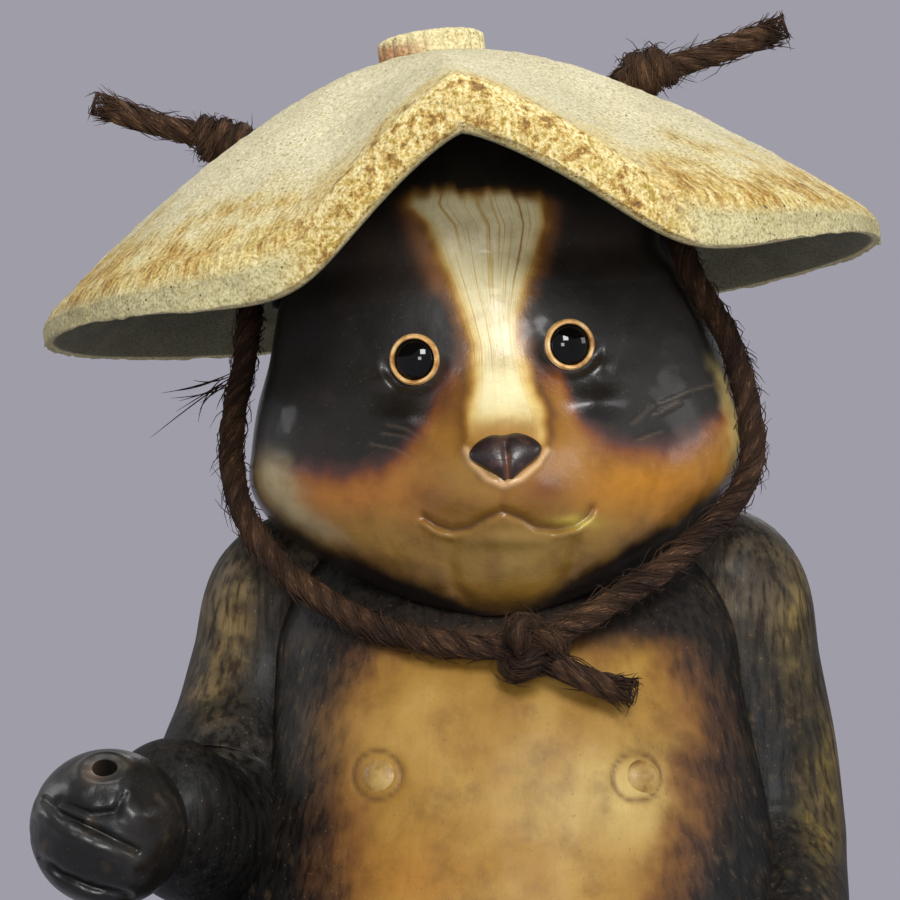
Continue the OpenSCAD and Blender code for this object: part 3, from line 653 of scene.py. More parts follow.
# two breasts swell a little, each with its stud set in a pressed ring; places and sizes are in the
# photograph's pixels
studs = ((378, 775), (636, 777))
breast = (62, 60)
stud_ring = 25
co = points_of(body)
across, down = in_frame(co)
front = soft(0.02, -0.03, co[:, 1])
raise_by = 0.0004 * wander(co, 0.020, 2.0)
for x, y in studs:
    away = np.hypot(across - x, down - y)
    raise_by += 0.0016 * mound(across, down, x, y, *breast)
    raise_by -= 0.0011 * np.exp(-((away - stud_ring) / 3) ** 2)
co[:, 1] -= front * raise_by
move_points(body, co)

# the pale belly's two edges, at these heights, in metres
belly_heights = np.array([30, 80, 140, 190, 205, 225, 250, 270, 283, 290]) / 1000
belly_right = np.array([-40, -58, -62, -57, -58, -60, -59, -54, -45, -30]) / 1000
belly_left = np.array([40, 58, 60, 50, 55, 64, 66, 64, 58, 40]) / 1000
belly_top = 0.289
belly_bottom = 0.03
ragged = wander(co, 0.022, 3.0) * 7 / 1000 + wander(co, 0.006, 4.0) * 3 / 1000
streak = wander(co * np.array([1, 0.2, 0.12]), 0.0025, 6.0)
cloudy = wander(co, 0.020, 8.0)
inside = np.minimum.reduce([
    co[:, 0] - np.interp(co[:, 2], belly_heights, belly_right),
    np.interp(co[:, 2], belly_heights, belly_left) - co[:, 0],
    (belly_top - co[:, 2]) * 1.2, co[:, 2] - belly_bottom
]) + ragged
inside = inside + 0.006 * streak * soft(0.262, 0.280, co[:, 2])
# soft places on the belly and shoulders in pixels: middle, half width and half height
belly_patch = (620, 800, 62, 62)
belly_low = (410, 880, 50, 40)
belly_high = (400, 735, 60, 45)
right_shoulder = (262, 600, 26, 50)
left_shoulder = (735, 600, 34, 46)
pale = mound(across, down, *belly_patch) * soft(0.000, 0.016, inside)
paint = paint_over(dark_clay(co, 0.0), front, (
    (soft(-0.017, -0.003, inside), "#47301f"),
    (soft(-0.006, 0.008, inside), "#7a5226"),
    (soft(0.002, 0.020, inside), "#98722e"),
    (soft(0.010, 0.030, inside) * soft(-0.3, 0.6, cloudy) * 0.7, "#ab8a45"),
    (soft(0.010, 0.030, inside) * soft(0.1, 0.8, -cloudy) * 0.2, "#8e682b"),
    (mound(across, down, *belly_low) * 0.6, "#a4702a"),
    (mound(across, down, *belly_high) * 0.55, "#b5924f"),
    (pale * (0.65 + 0.25 * soft(-0.4, 0.5, cloudy)), "#c2aa6c")
))
for x, y in studs:
    away = np.hypot(across - x, down - y)
    paint = layer(paint, front * np.exp(-((away - stud_ring + 1) / 2.5) ** 2) * 0.75, "#5f4020")
# painted shade under the chin, where the chin and the rope shadow the top of the chest, with browner fur
# beside the shoulders
shoulder_fur = mound(across, down, *right_shoulder) + mound(across, down, *left_shoulder)
paint = paint_over(paint, 1, (
    # the painted shade under the chin
    (soft(0.276, 0.289, co[:, 2] + 0.004 * streak) * 0.9, "#1d1915"),
    (shoulder_fur * soft(-0.1, 0.6, wander(co, 0.006, 7.0)) * 0.5, "#5a4c36")
))
keep_paint(body, paint, 1 - 0.93 * front * soft(-0.012, 0.010, inside))
settle(body, "torso")


# Limbs and tail
# Solid rolls of the same clay, luted on with slip and smoothed at the joint, under the same dark
# glaze with patches of olive ash. The tail is a thick club that curls up the back.
arm_radius = 0.027


def limb_form(name, route, radii, segments, rows, material, cap=0.10):
    """A roll of clay along a route, with a radius at each of its points and a dome at each end."""
    path = smooth_route(route, 0.002)
    heading, side, up = frames(path)
    run = np.linspace(0, 1, len(path))
    wide = np.interp(run, np.linspace(0, 1, len(radii)), radii)
    for _ in range(12):
        wide[1:-1] = (wide[:-2] + 2 * wide[1:-1] + wide[2:]) / 4

    def place(angle, rise):
        t = np.clip((rise - cap) / (1 - 2 * cap), 0, 1) * (len(path) - 1)
        i = np.minimum(t.astype(int), len(path) - 2)
        f = (t - i)[:, None]
        mix = lambda values: values[i] * (1 - f) + values[i + 1] * f
        r = mix(wide[:, None])[:, 0]
        over = np.clip((rise - (1 - cap)) / cap, 0, 1) - np.clip((cap - rise) / cap, 0, 1)
        out = np.abs(over) * math.pi / 2
        centre = mix(path) + mix(heading) * (np.sign(over) * r * 0.7 * np.sin(out))[:, None]
        return centre + (r * np.cos(out))[:, None] * (
            np.cos(angle)[:, None] * mix(side) + np.sin(angle)[:, None] * mix(up)
        )

    return pressed_form(name, segments, rows, place, material)


right_arm = limb_form("right_arm_roll", [
    (-0.062, 0, 0.304), (-0.080, -0.002, 0.297), (-0.087, -0.004, 0.272), (-0.093, -0.014, 0.244),
    (-0.099, -0.033, 0.221), (-0.107, -0.054, 0.217), (-0.114, -0.068, 0.224),
    (-0.118, -0.074, 0.228)
], arm_radius + np.array([-3, 0, -1, 0, 3, 3, -1, -3]) / 1000, 144, 150, body_glaze)
left_arm = limb_form("left_arm_roll", [
    (0.062, 0, 0.306), (0.080, -0.002, 0.300), (0.086, -0.004, 0.272), (0.092, -0.008, 0.240),
    (0.094, -0.018, 0.208), (0.097, -0.048, 0.184), (0.094, -0.076, 0.171), (0.091, -0.087, 0.166)
], arm_radius + np.array([-3, 0, -1, -1, 0, -4, -8, -13]) / 1000, 144, 150, body_glaze)
tail = limb_form("tail_club", [
    (0.002, 0.070, 0.044), (0.010, 0.092, 0.050), (0.020, 0.106, 0.068), (0.028, 0.112, 0.094),
    (0.032, 0.109, 0.120), (0.033, 0.102, 0.140)
], [0.020, 0.027, 0.030, 0.030, 0.025, 0.016], 96, 90, body_glaze)

# soft worn and sooty places on the arms in pixels: middle, half width and half height
upper_arm = (232, 628, 30, 62)
elbow = (205, 700, 22, 26)
forearm = (225, 745, 40, 24)
left_sleeve = (828, 790, 24, 60)
left_arm_top = (800, 620, 18, 60)
for piece, node, seed in ((right_arm, "right_arm", 11.0), (left_arm, "left_arm", 17.0),
                          (tail, "tail", 23.0)):
    co = points_of(piece)
    height = co[:, 2]
    across, down = in_frame(co)
    patchy = soft(-0.3, 0.5, wander(co, 0.018, seed + 2))
    patchy = patchy * soft(-0.7, 0.3, wander(co, 0.005, seed + 3))
    if node == "tail":
        patches = ((soft(0.118, 0.136, height) * 0.8, "#7c5c29"),)
    elif node == "right_arm":
        worn = mound(across, down, *upper_arm) + mound(across, down, *elbow) * 0.7
        # painted shade on the arm's inner side, where it meets the body
        shade_beside_body = soft(246, 268, across + 6 * patchy) * soft(600, 640, down)
        patches = (
            (soft(0.262, 0.30, height) * (0.25 + 0.45 * patchy), "#5f5442"),
            (worn * (0.25 + 0.65 * patchy), "#84704a"),
            (soft(0.272, 0.236, height + 0.006 * patchy) * 0.85, "#161615"),
            (shade_beside_body * 0.8, "#1b1a19"),
            (mound(across, down, *forearm) * patchy * 0.5, "#5b5650")
        )
    else:
        worn = mound(across, down, *left_sleeve) + mound(across, down, *left_arm_top) * 0.6
        patches = (
            (soft(0.255, 0.30, height) * (0.25 + 0.45 * patchy), "#665a47"),
            (worn * (0.25 + 0.7 * patchy), "#96813f")
        )
    keep_paint(piece, paint_over(dark_clay(co, seed), 1, patches))
    settle(piece, node)

# Raised fist: a ball of clay with the fingers rolled round a hole that leans forward and goes right
# through, for the cord of a flask. It has the blackest glaze, a raised lip round the hole's mouth
# and tooled grooves between the fingers.
fist_at = np.array([-0.135, -0.095, 0.222])
fist_radius = 0.0265
fist_lean = math.radians(36)
finger_gap = 0.010
hole_radius = 0.00425


def fist_place(angle, rise):
    polar = 0.145 + (math.pi - 0.29) * (1 - rise)
    z = fist_radius * np.cos(polar)
    curl = np.exp(-((np.abs(z % finger_gap - finger_gap / 2) - finger_gap / 2) / 0.0011) ** 2)
    outer = soft(0.0, 0.7, -np.cos(angle)) * soft(0.5, 0.0, -np.sin(angle))
    outer = outer * soft(0.020, 0.014, np.abs(z))
    lip = np.exp(-((fist_radius * np.sin(polar) - 0.0078) / 0.0024) ** 2)
    r = fist_radius - 0.0011 * curl * outer + 0.0012 * lip
    x, y = r * np.sin(polar) * np.cos(angle), r * np.sin(polar) * np.sin(angle)
    z = r * np.cos(polar)
    return fist_at + np.stack([
        x, y * math.cos(fist_lean) - z * math.sin(fist_lean),
        y * math.sin(fist_lean) + z * math.cos(fist_lean)
    ], axis=1)


fist_glaze = glaze_material("black_fist_glaze", 0.36, 0.2, 0.1, sheen=0.35)
right_fist = pressed_form("right_fist_roll", 220, 200, fist_place, fist_glaze)
# grooves between the fingers and round the thumb, with their ridges, in the photograph's pixels
fingers = (
    ((44, 800), (62, 815), (92, 829), (136, 850)), ((40, 858), (60, 874), (92, 887), (128, 895))
)
thumb = ((72, 790), (92, 802), (122, 800))
thumb_groove = ((60, 803), (92, 815), (116, 812), (124, 795))
knuckle = (141, 815, 18, 15)
hole_mouth = (94, 772, 10, 10)
co = points_of(right_fist)
across, down = in_frame(co)
front = soft(-0.092, -0.106, co[:, 1])
raise_by = 0.0026 * mound(across, down, *knuckle) + 0.0010 * wander(co, 0.014, 37.0)
raise_by += 0.0018 * line_mark(across, down, thumb, 12)
raise_by -= 0.0016 * line_mark(across, down, thumb_groove, 5)
for finger in fingers:
    ridge = [(x - 2, y + 14) for x, y in finger]
    raise_by += 0.0020 * line_mark(across, down, ridge, 8)
    raise_by -= 0.0024 * line_mark(across, down, finger, 4)
co[:, 1] -= front * raise_by
move_points(right_fist, co)
bpy.ops.mesh.primitive_cylinder_add(
    vertices=64, radius=hole_radius, depth=0.08, location=fist_at, rotation=(fist_lean, 0, 0)
)
drill = bpy.context.object
bpy.ops.object.select_all(action="DESELECT")
right_fist.select_set(True)
bpy.context.view_layer.objects.active = right_fist
bored = right_fist.modifiers.new("bored", "BOOLEAN")
bored.object = drill
bored.operation = "DIFFERENCE"
bored.solver = "EXACT"
bpy.ops.object.modifier_apply(modifier="bored")
bpy.data.objects.remove(drill)
bpy.ops.object.shade_smooth_by_angle(angle=math.radians(50))
co = points_of(right_fist)
across, down = in_frame(co)
keep_paint(right_fist, paint_over(plain_paint(co, "#151514"), 1, (
    (soft(0.1, 0.8, wander(co, 0.016, 31.0)) * 0.7, "#2c2b28"),
    (soft(0.3, 0.9, wander(co, 0.010, 35.0)) * 0.6, "#40372b"),
    (mound(across, down, *hole_mouth) * 0.7, "#6d5a4c")
)))
settle(right_fist, "right_fist")

# Lowered hand and feet: plain rounded paws with shallow grooves between the toes, below the
# photograph's edge, so they are as plain as on other figures of the kind
left_hand = limb_form("left_hand_paw", [
    (0.089, -0.093, 0.164), (0.087, -0.101, 0.160), (0.083, -0.109, 0.155)
], [0.0185, 0.0195, 0.015], 96, 64, body_glaze, 0.3)
co = points_of(left_hand)
for toe in (-0.008, 0, 0.008):
    near = np.exp(-((co[:, 0] - 0.084 - toe) / 0.0012) ** 2) * soft(-0.104, -0.118, co[:, 1])
    co[:, 1] += 0.0014 * near
move_points(left_hand, co)

foot_stations = np.array([
    (0, 24, -43, 46), (10.8, 27, -46, 46), (25.2, 23, -38, 46), (36, 13, -18, 46)
]) / 1000


def foot_place(side):
    def place(angle, rise):
        z = np.interp(rise, [0, 0.12, 0.82, 1], [0, 0, 0.036, 0.036])
        spread = np.interp(rise, [0, 0.12, 0.82, 1], [0, 1, 1, 0])
        x, y = oval(angle, 0, along(foot_stations, z, 1), along(foot_stations, z, 2),
                    along(foot_stations, z, 3))
        for toe in (-0.010, 0, 0.010):
            near = np.exp(-((x - toe) / 0.0016) ** 2) * soft(-0.018, -0.038, y)
            y = y + 0.0022 * near
        return np.stack([side * 0.050 + x * spread, -0.096 + y * spread, z], axis=1)
    return place


feet = [pressed_form(name, 144, 60, foot_place(side), body_glaze)
        for name, side in (("right_foot_pad", -1), ("left_foot_pad", 1))]
for piece, node, seed in ((left_hand, "left_hand", 41.0), (feet[0], "right_foot", 43.0),
                          (feet[1], "left_foot", 47.0)):
    co = points_of(piece)
    olive = soft(-0.2, 0.6, wander(co, 0.014, seed + 1)) * 0.45
    keep_paint(piece, layer(dark_clay(co, seed), olive, "#6a5b41"))
    settle(piece, node)


# Head
# A hollow ball of the same clay, wide at the cheeks and round on top, luted into the shoulders. Its
# face was modelled with the thumb and a tool: a short muzzle, pads under the eyes, a wide thin mouth
# and a chin, with fine tooled lines down the pale blaze and on the cheeks.
head_at = np.array([-0.0029, 0, 0.3524])
head_lean = math.radians(5.5)
crown_radius = 0.068
crown_height = 0.060
crown_side = -0.003
head_stations = np.array([
    (-60, 17, -68, -24, -3), (-55, 33, -74, -6, -2), (-49, 46, -77, 8, -1), (-40, 61, -79, 25, 0),
    (-30, 74, -80, 40, 0), (-20, 84.5, -80, 52, 0), (-8, 90, -80, 62, 0), (5, 88.5, -79, 68, 0),
    (20, 85, -77, 72, 0), (35, 79.5, -75, 73, 0), (50, 73.5, -72, 72, -2), (60, 68, -68, 68, -3)
]) / 1000


def in_head(co):
    """Points measured from the middle of the cheeks, put in their place on the leaning head."""
    x, z = co[:, 0], co[:, 2]
    return head_at + np.stack([
        x * math.cos(head_lean) - z * math.sin(head_lean), co[:, 1],
        x * math.sin(head_lean) + z * math.cos(head_lean)
    ], axis=1)


def head_ball(angle, rise):
    angle = fuller_in_front(angle, 0.5)
    face = rise < 0.70
    z = np.interp(rise, [0, 0.05, 0.70], [-0.060, -0.060, 0.050])
    up = np.interp(rise, [0.70, 1], [math.radians(-9), math.pi / 2])
    spread = np.interp(rise, [0, 0.05], [0, 1])
    cut = np.minimum(z, 0.050)
    half, front, back, mid = (along(head_stations, cut, i) for i in (1, 2, 3, 4))
    x, y = oval(angle, mid, half, front, back)
    middle = (front + back) / 2
    x, y = mid + (x - mid) * spread, middle + (y - middle) * spread
    ring = crown_radius * np.cos(up)
    near = soft(0.74, 0.70, rise)
    cx, cy = crown_side + ring * np.cos(angle), ring * np.sin(angle)
    cz = crown_height + crown_radius * np.sin(up)
    x = np.where(face, x, cx * (1 - near) + x * near)
    y = np.where(face, y, cy * (1 - near) + y * near)
    z = np.where(face, z, cz)
    rise_off = z + 0.013
    swell = np.exp(-((x + 0.001) / 0.025) ** 2
                   - (rise_off / np.where(rise_off > 0, 0.024, 0.020)) ** 2)
    y = y - np.where(y < -0.020, 0.020 * swell, 0)
    return in_head(np.stack([x, y, z], axis=1))


# Where the face is modelled and painted, in the photograph's pixels, across and down
eyes = ((414, 360), (570, 344))
nose_rim = ((466, 449), (472, 463), (487, 479), (504, 486), (521, 479), (538, 464), (547, 450))
cleft = ((503, 484), (502, 510))
mouth = (
    (424, 517), (436, 525), (452, 530), (469, 528), (485, 518), (503, 511), (522, 518),
    (537, 527), (556, 529), (575, 525), (588, 516), (592, 508)
)
whiskers = (
    ((382, 433), (404, 436), (421, 444)), ((372, 444), (396, 449), (416, 460)),
    ((388, 425), (405, 428), (420, 437)), ((632, 424), (653, 405)), ((638, 440), (662, 431)),
    ((660, 404), (690, 391), (722, 382)), ((655, 415), (680, 402))
)
# swellings in metres, with their middle, half width and half height: brows, lobes of the muzzle,
# lower lip, chin and cheeks
swellings = (
    (0.0012, 400, 300, 46, 24), (0.0012, 590, 286, 46, 24), (0.0022, 460, 500, 30, 18),
    (0.0022, 548, 498, 32, 18), (0.0018, 512, 540, 48, 9), (0.0036, 511, 570, 40, 30),
    (0.0018, 345, 500, 45, 30), (0.0018, 665, 480, 50, 30)
)
pads = ((0.0036, 403, 420, 25, 15), (0.0036, 596, 403, 26, 15))
eye_corners = ((0.0011, 384, 380, 11, 9), (0.0011, 603, 367, 11, 9))
# ridges and grooves in metres, with their line and its half width: the nose's rim, the cleft, the
# mouth, the lips' corners and the creases beside the chin
tooled = (
    (0.0012, nose_rim, 4), (-0.0011, cleft, 3), (-0.0022, mouth, 4),
    (0.0010, ((556, 536), (578, 531), (594, 518)), 4),
    (0.0010, ((424, 524), (436, 533), (452, 538)), 4),
    (-0.0016, ((452, 543), (448, 562), (454, 587), (470, 606)), 8),
    (-0.0016, ((576, 545), (573, 565), (560, 590), (544, 604)), 8)
)

face_glaze = glaze_material("face_glaze", 0.32, 0.3, 0.15, "#d6cec3", 0.4, streaks=True)
head = pressed_form("head_shell", 330, 230, head_ball, face_glaze)
co = points_of(head)
across, down = in_frame(co)
front = soft(-0.015, -0.045, co[:, 1])
raise_by, socket = np.zeros(len(co)), np.zeros(len(co))
for x, y in eyes:
    away = np.hypot(across - x, down - y)
    raise_by -= 0.0008 * np.exp(-((away - 62) / 20) ** 2) * soft(y + 40, y, down)
    socket = np.maximum(socket, soft(37, 27, away) * soft(y - 8, y + 14, down))
bridge = np.interp(down, [200, 330, 430], [485, 497, 508])
bridge_run = soft(230, 340, down) * soft(462, 395, down)
raise_by += 0.0015 * np.exp(-((across - bridge) / 30) ** 2) * bridge_run
for rise, *place in swellings + pads:
    raise_by += rise * mound(across, down, *place)
for rise, line, width in tooled:
    raise_by += rise * line_mark(across, down, line, width)
# nothing rises over the eyes' rings, and the clay below each is scooped out
from_eyes = np.minimum(*[np.hypot(across - x, down - y) for x, y in eyes])
raise_by = np.where(raise_by > 0, raise_by * soft(27, 46, from_eyes), raise_by) - 0.0022 * socket
for rise, *place in eye_corners:
    raise_by += rise * mound(across, down, *place)
for whisker in whiskers:
    raise_by -= 0.0006 * line_mark(across, down, whisker, 2.2)
raise_by += 0.0003 * wander(co, 0.014, 60.0)
co[:, 1] -= front * raise_by
move_points(head, co)

across, down = in_frame(co)
ragged = 7 * wander(co, 0.009, 61.0) + 7 * wander(co, 0.022, 63.0)
slow = wander(co, 0.028, 65.0)
# soft places of the paint in pixels: middle, half width and half height
right_brow = (366, 250, 50, 36)
left_brow = (618, 240, 46, 34)
right_cheek = (345, 488, 62, 26)
left_cheek = (655, 482, 75, 34)
right_jowl = (400, 540, 70, 26)
below_mouth = (530, 552, 85, 40)
right_lobe = (470, 478, 34, 28)
left_lobe = (545, 488, 24, 16)
mouth_end = (432, 502, 24, 22)
painted_lip_highlight = (577, 522, 20, 6)
chin_top = (512, 568, 24, 26)
chin_foot = (520, 592, 44, 14)
beside_eye = (445, 400, 12, 30)
cleft_paint = ((503, 486), (502, 508))
face_side = 250
# how far a point lies below the lower edge of the dark masks, and below the line of the jaw
mask_edge = np.interp(
    across,
    [250, 290, 330, 380, 400, 425, 440, 455, 560, 575, 590, 620, 655, 690, 715, 728, 745],
    [462, 466, 470, 466, 450, 424, 394, 372, 372, 405, 428, 440, 446, 440, 420, 396, 356]
)
below = down - mask_edge + ragged * 0.8
jaw = np.interp(
    across,
    [255, 290, 323, 373, 426, 448, 472, 505, 540, 572, 600, 640, 680, 720, 745],
    [492, 528, 549, 567, 583, 592, 608, 618, 608, 582, 565, 544, 519, 489, 458]
)
under_jaw = down - jaw + ragged
# how far it lies inside the painted rim light along the cheeks' outer edges
rim_light_left = across - np.interp(down, [430, 470, 500, 540], [258, 268, 285, 330]) + ragged
rim_light_right = np.interp(down, [350, 400, 440, 470, 500], [716, 732, 740, 735, 722])
rim_light_right = across - rim_light_right + ragged * 0.6
# how far it lies inside the blaze, from its two sides, its top and its end above the nose
blaze_rows = [190, 205, 225, 250, 280, 312, 345, 380, 400, 415, 440]
blaze_left = np.interp(down, blaze_rows, [412, 405, 426, 436, 449, 462, 472, 472, 469, 467, 468])
blaze_right = np.interp(down, blaze_rows, [536, 546, 547, 540, 529, 522, 522, 529, 537, 543, 542])
within = np.minimum(across - blaze_left, blaze_right - across)
top_edge = down - (194 + 3 * np.sin(across / 9.0 + 1.3 * np.sin(across / 4.3)))
blaze = np.minimum(within, np.minimum(top_edge, (440 - down) / 2.5))
below_hat = soft(192, 206, down)
forehead = mound(across, down, *right_brow) + mound(across, down, *left_brow)
blaze_stains = (((412, 206), (420, 235), (440, 280)), ((551, 208), (548, 232), (537, 270)))

paint = layer(plain_paint(co, "#1a1713"), soft(0.0, 0.8, slow) * 0.6, "#2e2621")
paint = paint_over(paint, front, (
    # the ochre lower face, brown next to the masks, and warmer cheeks
    (soft(-16, 3, below), "#4b2d27"),
    (soft(-3, 12, below), "#7e4a22"),
    (soft(6, 34, below), "#97692a"),
    (soft(6, 36, below) * mound(across, down, *left_cheek), "#ad751d"),
    (soft(4, 30, below) * mound(across, down, *right_cheek), "#9c6428"),
    # olive towards the jaw, the tones round the mouth and on the chin, and a painted highlight on the
    # lip's right side
    (soft(500, 545, down + ragged) * 0.7, "#785b28"),
    (mound(across, down, *right_jowl) * 0.5, "#8c6e32"),
    (mound(across, down, *below_mouth) * 0.8, "#82692f"),
    (mound(across, down, *right_lobe) * 0.6, "#937539"),
    (mound(across, down, *left_lobe) * 0.8, "#6b3c20"),
    (mound(across, down, *mouth_end) * 0.5, "#774a24"),
    # painted highlight on the lower lip's right side
    (mound(across, down, *painted_lip_highlight), "#c2b04a"),
    (mound(across, down, *chin_top) * 0.6, "#927840"),
    (mound(across, down, *chin_foot) * 0.6, "#7c5c1e"),
    # painted rim light along the cheeks' outer edges, and brown then black under the jaw, partly the
    # dark glaze there and partly painted shade
    (soft(34, -4, rim_light_left) * soft(434, 474, down) * soft(560, 520, down), "#a3936a"),
    (soft(-18, 2, rim_light_right) * soft(345, 385, down) * soft(520, 478, down), "#cdb878"),
    # under the jaw: partly dark glaze, partly painted shade
    (soft(-24, 2, under_jaw) * 0.75, "#574022"),
    (soft(-7, 7, down - jaw + ragged * 0.6), "#1d1713"),
    (soft(46, 16, across - face_side + ragged) * soft(505, 530, down), "#3a2f22"),
    # the browner forehead, the brown frame of the blaze with two stains, and the cream blaze
    (forehead * (0.4 + 0.3 * soft(-6, 6, ragged)), "#3b2b1e"),
    (soft(-19, -3, within + ragged * 0.8) * soft(184, 205, down) * soft(470, 430, down), "#63401f"),
    (line_mark(across, down, blaze_stains[0], 13) * below_hat * 0.8, "#8a5c33"),
    (line_mark(across, down, blaze_stains[1], 10) * below_hat * 0.6, "#7a4f2a"),
    (soft(-8, 4, blaze + ragged * 0.5), "#b5863c"),
    (soft(-2, 8, blaze + ragged * 0.5), "#e0c67e"),
    (soft(3, 16, within) * soft(-2, 10, top_edge) * soft(440, 390, down), "#f0e6b6"),
    (soft(408, 434, down) * soft(-2, 8, within) * soft(452, 436, down) * 0.8, "#a98044"),
    (mound(across, down, *beside_eye) * 0.7, "#4d2f20")
))
# the tooled lines are painted apart from the clay beside them: the whiskers paler, as painted highlight
# along their gloss, the mouth darker brown, the cleft browner and the nose's rim cream
for line, width, share, code in (
    # the whiskers' paler tone is painted highlight
    *((whisker, 1.6, 0.22, "#7d6c58") for whisker in whiskers),
    (mouth, 2.4, 0.7, "#55351a"), (cleft_paint, 2.0, 0.8, "#8a5a2c"),
    (nose_rim, 3.2, 0.85, "#dcb583")
):
    paint = layer(paint, front * line_mark(across, down, line, width) * share, code)
keep_paint(head, paint, front * soft(-6, 8, blaze) * (0.12 + 0.68 * soft(400, 290, down)))

# the masks are duller than the rest, but for the pads and the eyes' outer corners
glossy_spots = ((405, 420), (597, 402), (388, 384), (604, 368))
shiny = np.clip(sum(mound(across, down, x, y, 30, 20) for x, y in glossy_spots), 0, 1)
masks = soft(6, -6, below) * (1 - soft(-14, -2, within))
matte = head.data.attributes.new("matte", "FLOAT", "POINT")
matte.data.foreach_set("value", (front * masks * (1 - shiny)).astype(np.float32))
# the blaze's fine lines run down it, about 21 across its width
across_blaze = (across - (blaze_left + blaze_right) / 2) / np.maximum(8, blaze_right - blaze_left)
grain = head.data.attributes.new("grain", "FLOAT_VECTOR", "POINT")
grain.data.foreach_set("vector", np.stack([
    across_blaze * 21, (down - 190) / 260, np.zeros(len(co))
], axis=1).astype(np.float32).ravel())
settle(head, "head")

# Ears: small rounded lobes beside the crown, hidden in front by the hat
ear_stations = np.array([(-14, 5, -12, 12), (-2, 8, -16, 16), (10, 7, -13, 13), (16, 3, -5, 5)]) / 1000
for side, node in ((-1, "right_ear"), (1, "left_ear")):
    def ear_place(angle, rise):
        z = np.interp(rise, [0, 0.1, 0.85, 1], [-0.014, -0.014, 0.016, 0.0175])
        spread = np.interp(rise, [0, 0.1, 0.85, 1], [0, 1, 1, 0])
        x, y = oval(angle, 0, along(ear_stations, z, 1), along(ear_stations, z, 2),
                    along(ear_stations, z, 3))
        lean = math.radians(-side * 9)
        x, y = x * spread, y * spread
        return in_head(np.stack([
            crown_side + side * (crown_radius - 0.001) + x * math.cos(lean) + z * math.sin(lean),
            0.014 + y, crown_height + 0.008 - x * math.sin(lean) + z * math.cos(lean)
        ], axis=1))
    ear = pressed_form(node + "_lobe", 64, 40, ear_place, body_glaze)
    keep_paint(ear, dark_clay(points_of(ear), 70.0 + side))
    settle(ear, node)

# Nose: a button of clay under a purple-black glaze, heart-shaped, with a groove down its middle and
# a pale rim of bare ochre glaze below it
nose_half = 0.0124
nose_high = 0.0086


def nose_place(angle, rise):
    polar = (1 - rise) * math.pi
    x, y, z = np.sin(polar) * np.cos(angle), np.sin(polar) * np.sin(angle), np.cos(polar)
    wide = 0.30 + 0.74 * soft(-1.0, 0.40, z)
    u = np.sign(x) * np.abs(x) ** 0.95 * wide * nose_half
    v = z * nose_high - 0.0009 * np.exp(-(x / 0.2) ** 2) * (z > 0)
    front = y * 0.0062 - 0.0034 * (1 - z) / 2
    front = front + np.where(y < 0, 0.0012 * np.exp(-(u / 0.0009) ** 2) * soft(0.9, 0.5, z), 0)
    return in_head(np.stack([0.0006 + u, -0.0950 + front, -0.0064 + v], axis=1))


nose_glaze = glaze_material("nose_glaze", 0.38, 0.2, 0.15)
nose = pressed_form("nose_button", 120, 90, nose_place, nose_glaze)
co = points_of(nose)
middle = np.exp(-((co[:, 0] - np.median(co[:, 0])) / 0.0009) ** 2)
keep_paint(nose, paint_over(plain_paint(co, "#2a1e1d"), 1, (
    (middle * soft(0.3490, 0.3460, co[:, 2]) * 0.8, "#7a4a30"),
    (soft(0, 0.6, wander(co, 0.006, 80.0)) * 0.7, "#4f3830")
)))
settle(nose, "nose")

# Eyes and studs: turned rings and domed plugs glazed before they were set in, the rings golden
# brown and glossy, the plugs a pure black gloss that mirrors like glass, the studs dull ochre
def clouded_glaze(name, clouding, stops, bump, shine):
    """A plain glaze on a faintly uneven surface, whose colour clouds slowly."""
    material = new_material(name)
    place = add(material, "TexCoord")
    cloud = add(material, "TexNoise", clouding, {"Vector": place.outputs["Object"]})
    tone = add(material, "ValToRGB", {"stops": stops}, {"Fac": cloud.outputs["Fac"]})
    raised = add(material, "Bump", bump, {"Height": cloud.outputs["Fac"]})
    shader = add(material, "BsdfPrincipled", shine,
                 {"Base Color": tone.outputs["Color"], "Normal": raised.outputs["Normal"]})
    add(material, "OutputMaterial", {}, {"Surface": shader.outputs["BSDF"]})
    return material


gold_glaze = clouded_glaze(
    "golden_ring_glaze", {"Scale": 260, "Detail": 4},
    [(0.30, "#a06c34"), (0.5, "#d6a764"), (0.75, "#efd09c")],
    {"Strength": 0.3, "Distance": 0.0003}, {"Roughness": 0.3, "Coat Weight": 0.5}
)
black_gloss = clouded_glaze(
    "black_gloss_glaze", {"Scale": 120, "Detail": 2}, [(0.3, "#040404"), (0.8, "#0d0b0a")],
    {"Strength": 0.08, "Distance": 0.0003},
    {"Roughness": 0.05, "IOR": 1.45, "Specular IOR Level": 0.35}
)
stud_glaze = clouded_glaze(
    "stud_glaze", {"Scale": 170, "Detail": 5, "Roughness": 0.6},
    [(0.32, "#74501f"), (0.45, "#917035"), (0.62, "#a78949")],
    {"Strength": 0.4, "Distance": 0.0004}, {"Roughness": 0.55, "Coat Weight": 0.05}
)
for node, material in (
    ("right_eye_ring", gold_glaze), ("left_eye_ring", gold_glaze),
    ("right_eyeball", black_gloss), ("left_eyeball", black_gloss),
    ("right_chest_stud", stud_glaze), ("left_chest_stud", stud_glaze)
):
    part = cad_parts[node]
    part.data.materials.clear()
    part.data.materials.append(material)


# Hat
# A separate cone draped from a slab of coarse pale stoneware, with its front folded up in a
# shallow peak. It is unglazed but for ash that melted to ochre and pooled at the rims, and a round
# seat inside rests on the crown.
crown_at = np.array([-0.011637, 0, 0.411836])
hat_radius = 0.1506
hat_drop = 0.0783
front_drop = 0.0295
front_right = 23
front_left = 27
hat_height = 0.0787
slab = 0.0134
rim_slab = 0.010
front_slab = 0.020
hat_roll = math.radians(7.2)
hat_tip = math.radians(3.5)
hat_turn = math.radians(2)
hat_shift = 0.0052
flat_top = 0.021
seat_gap = 0.0004


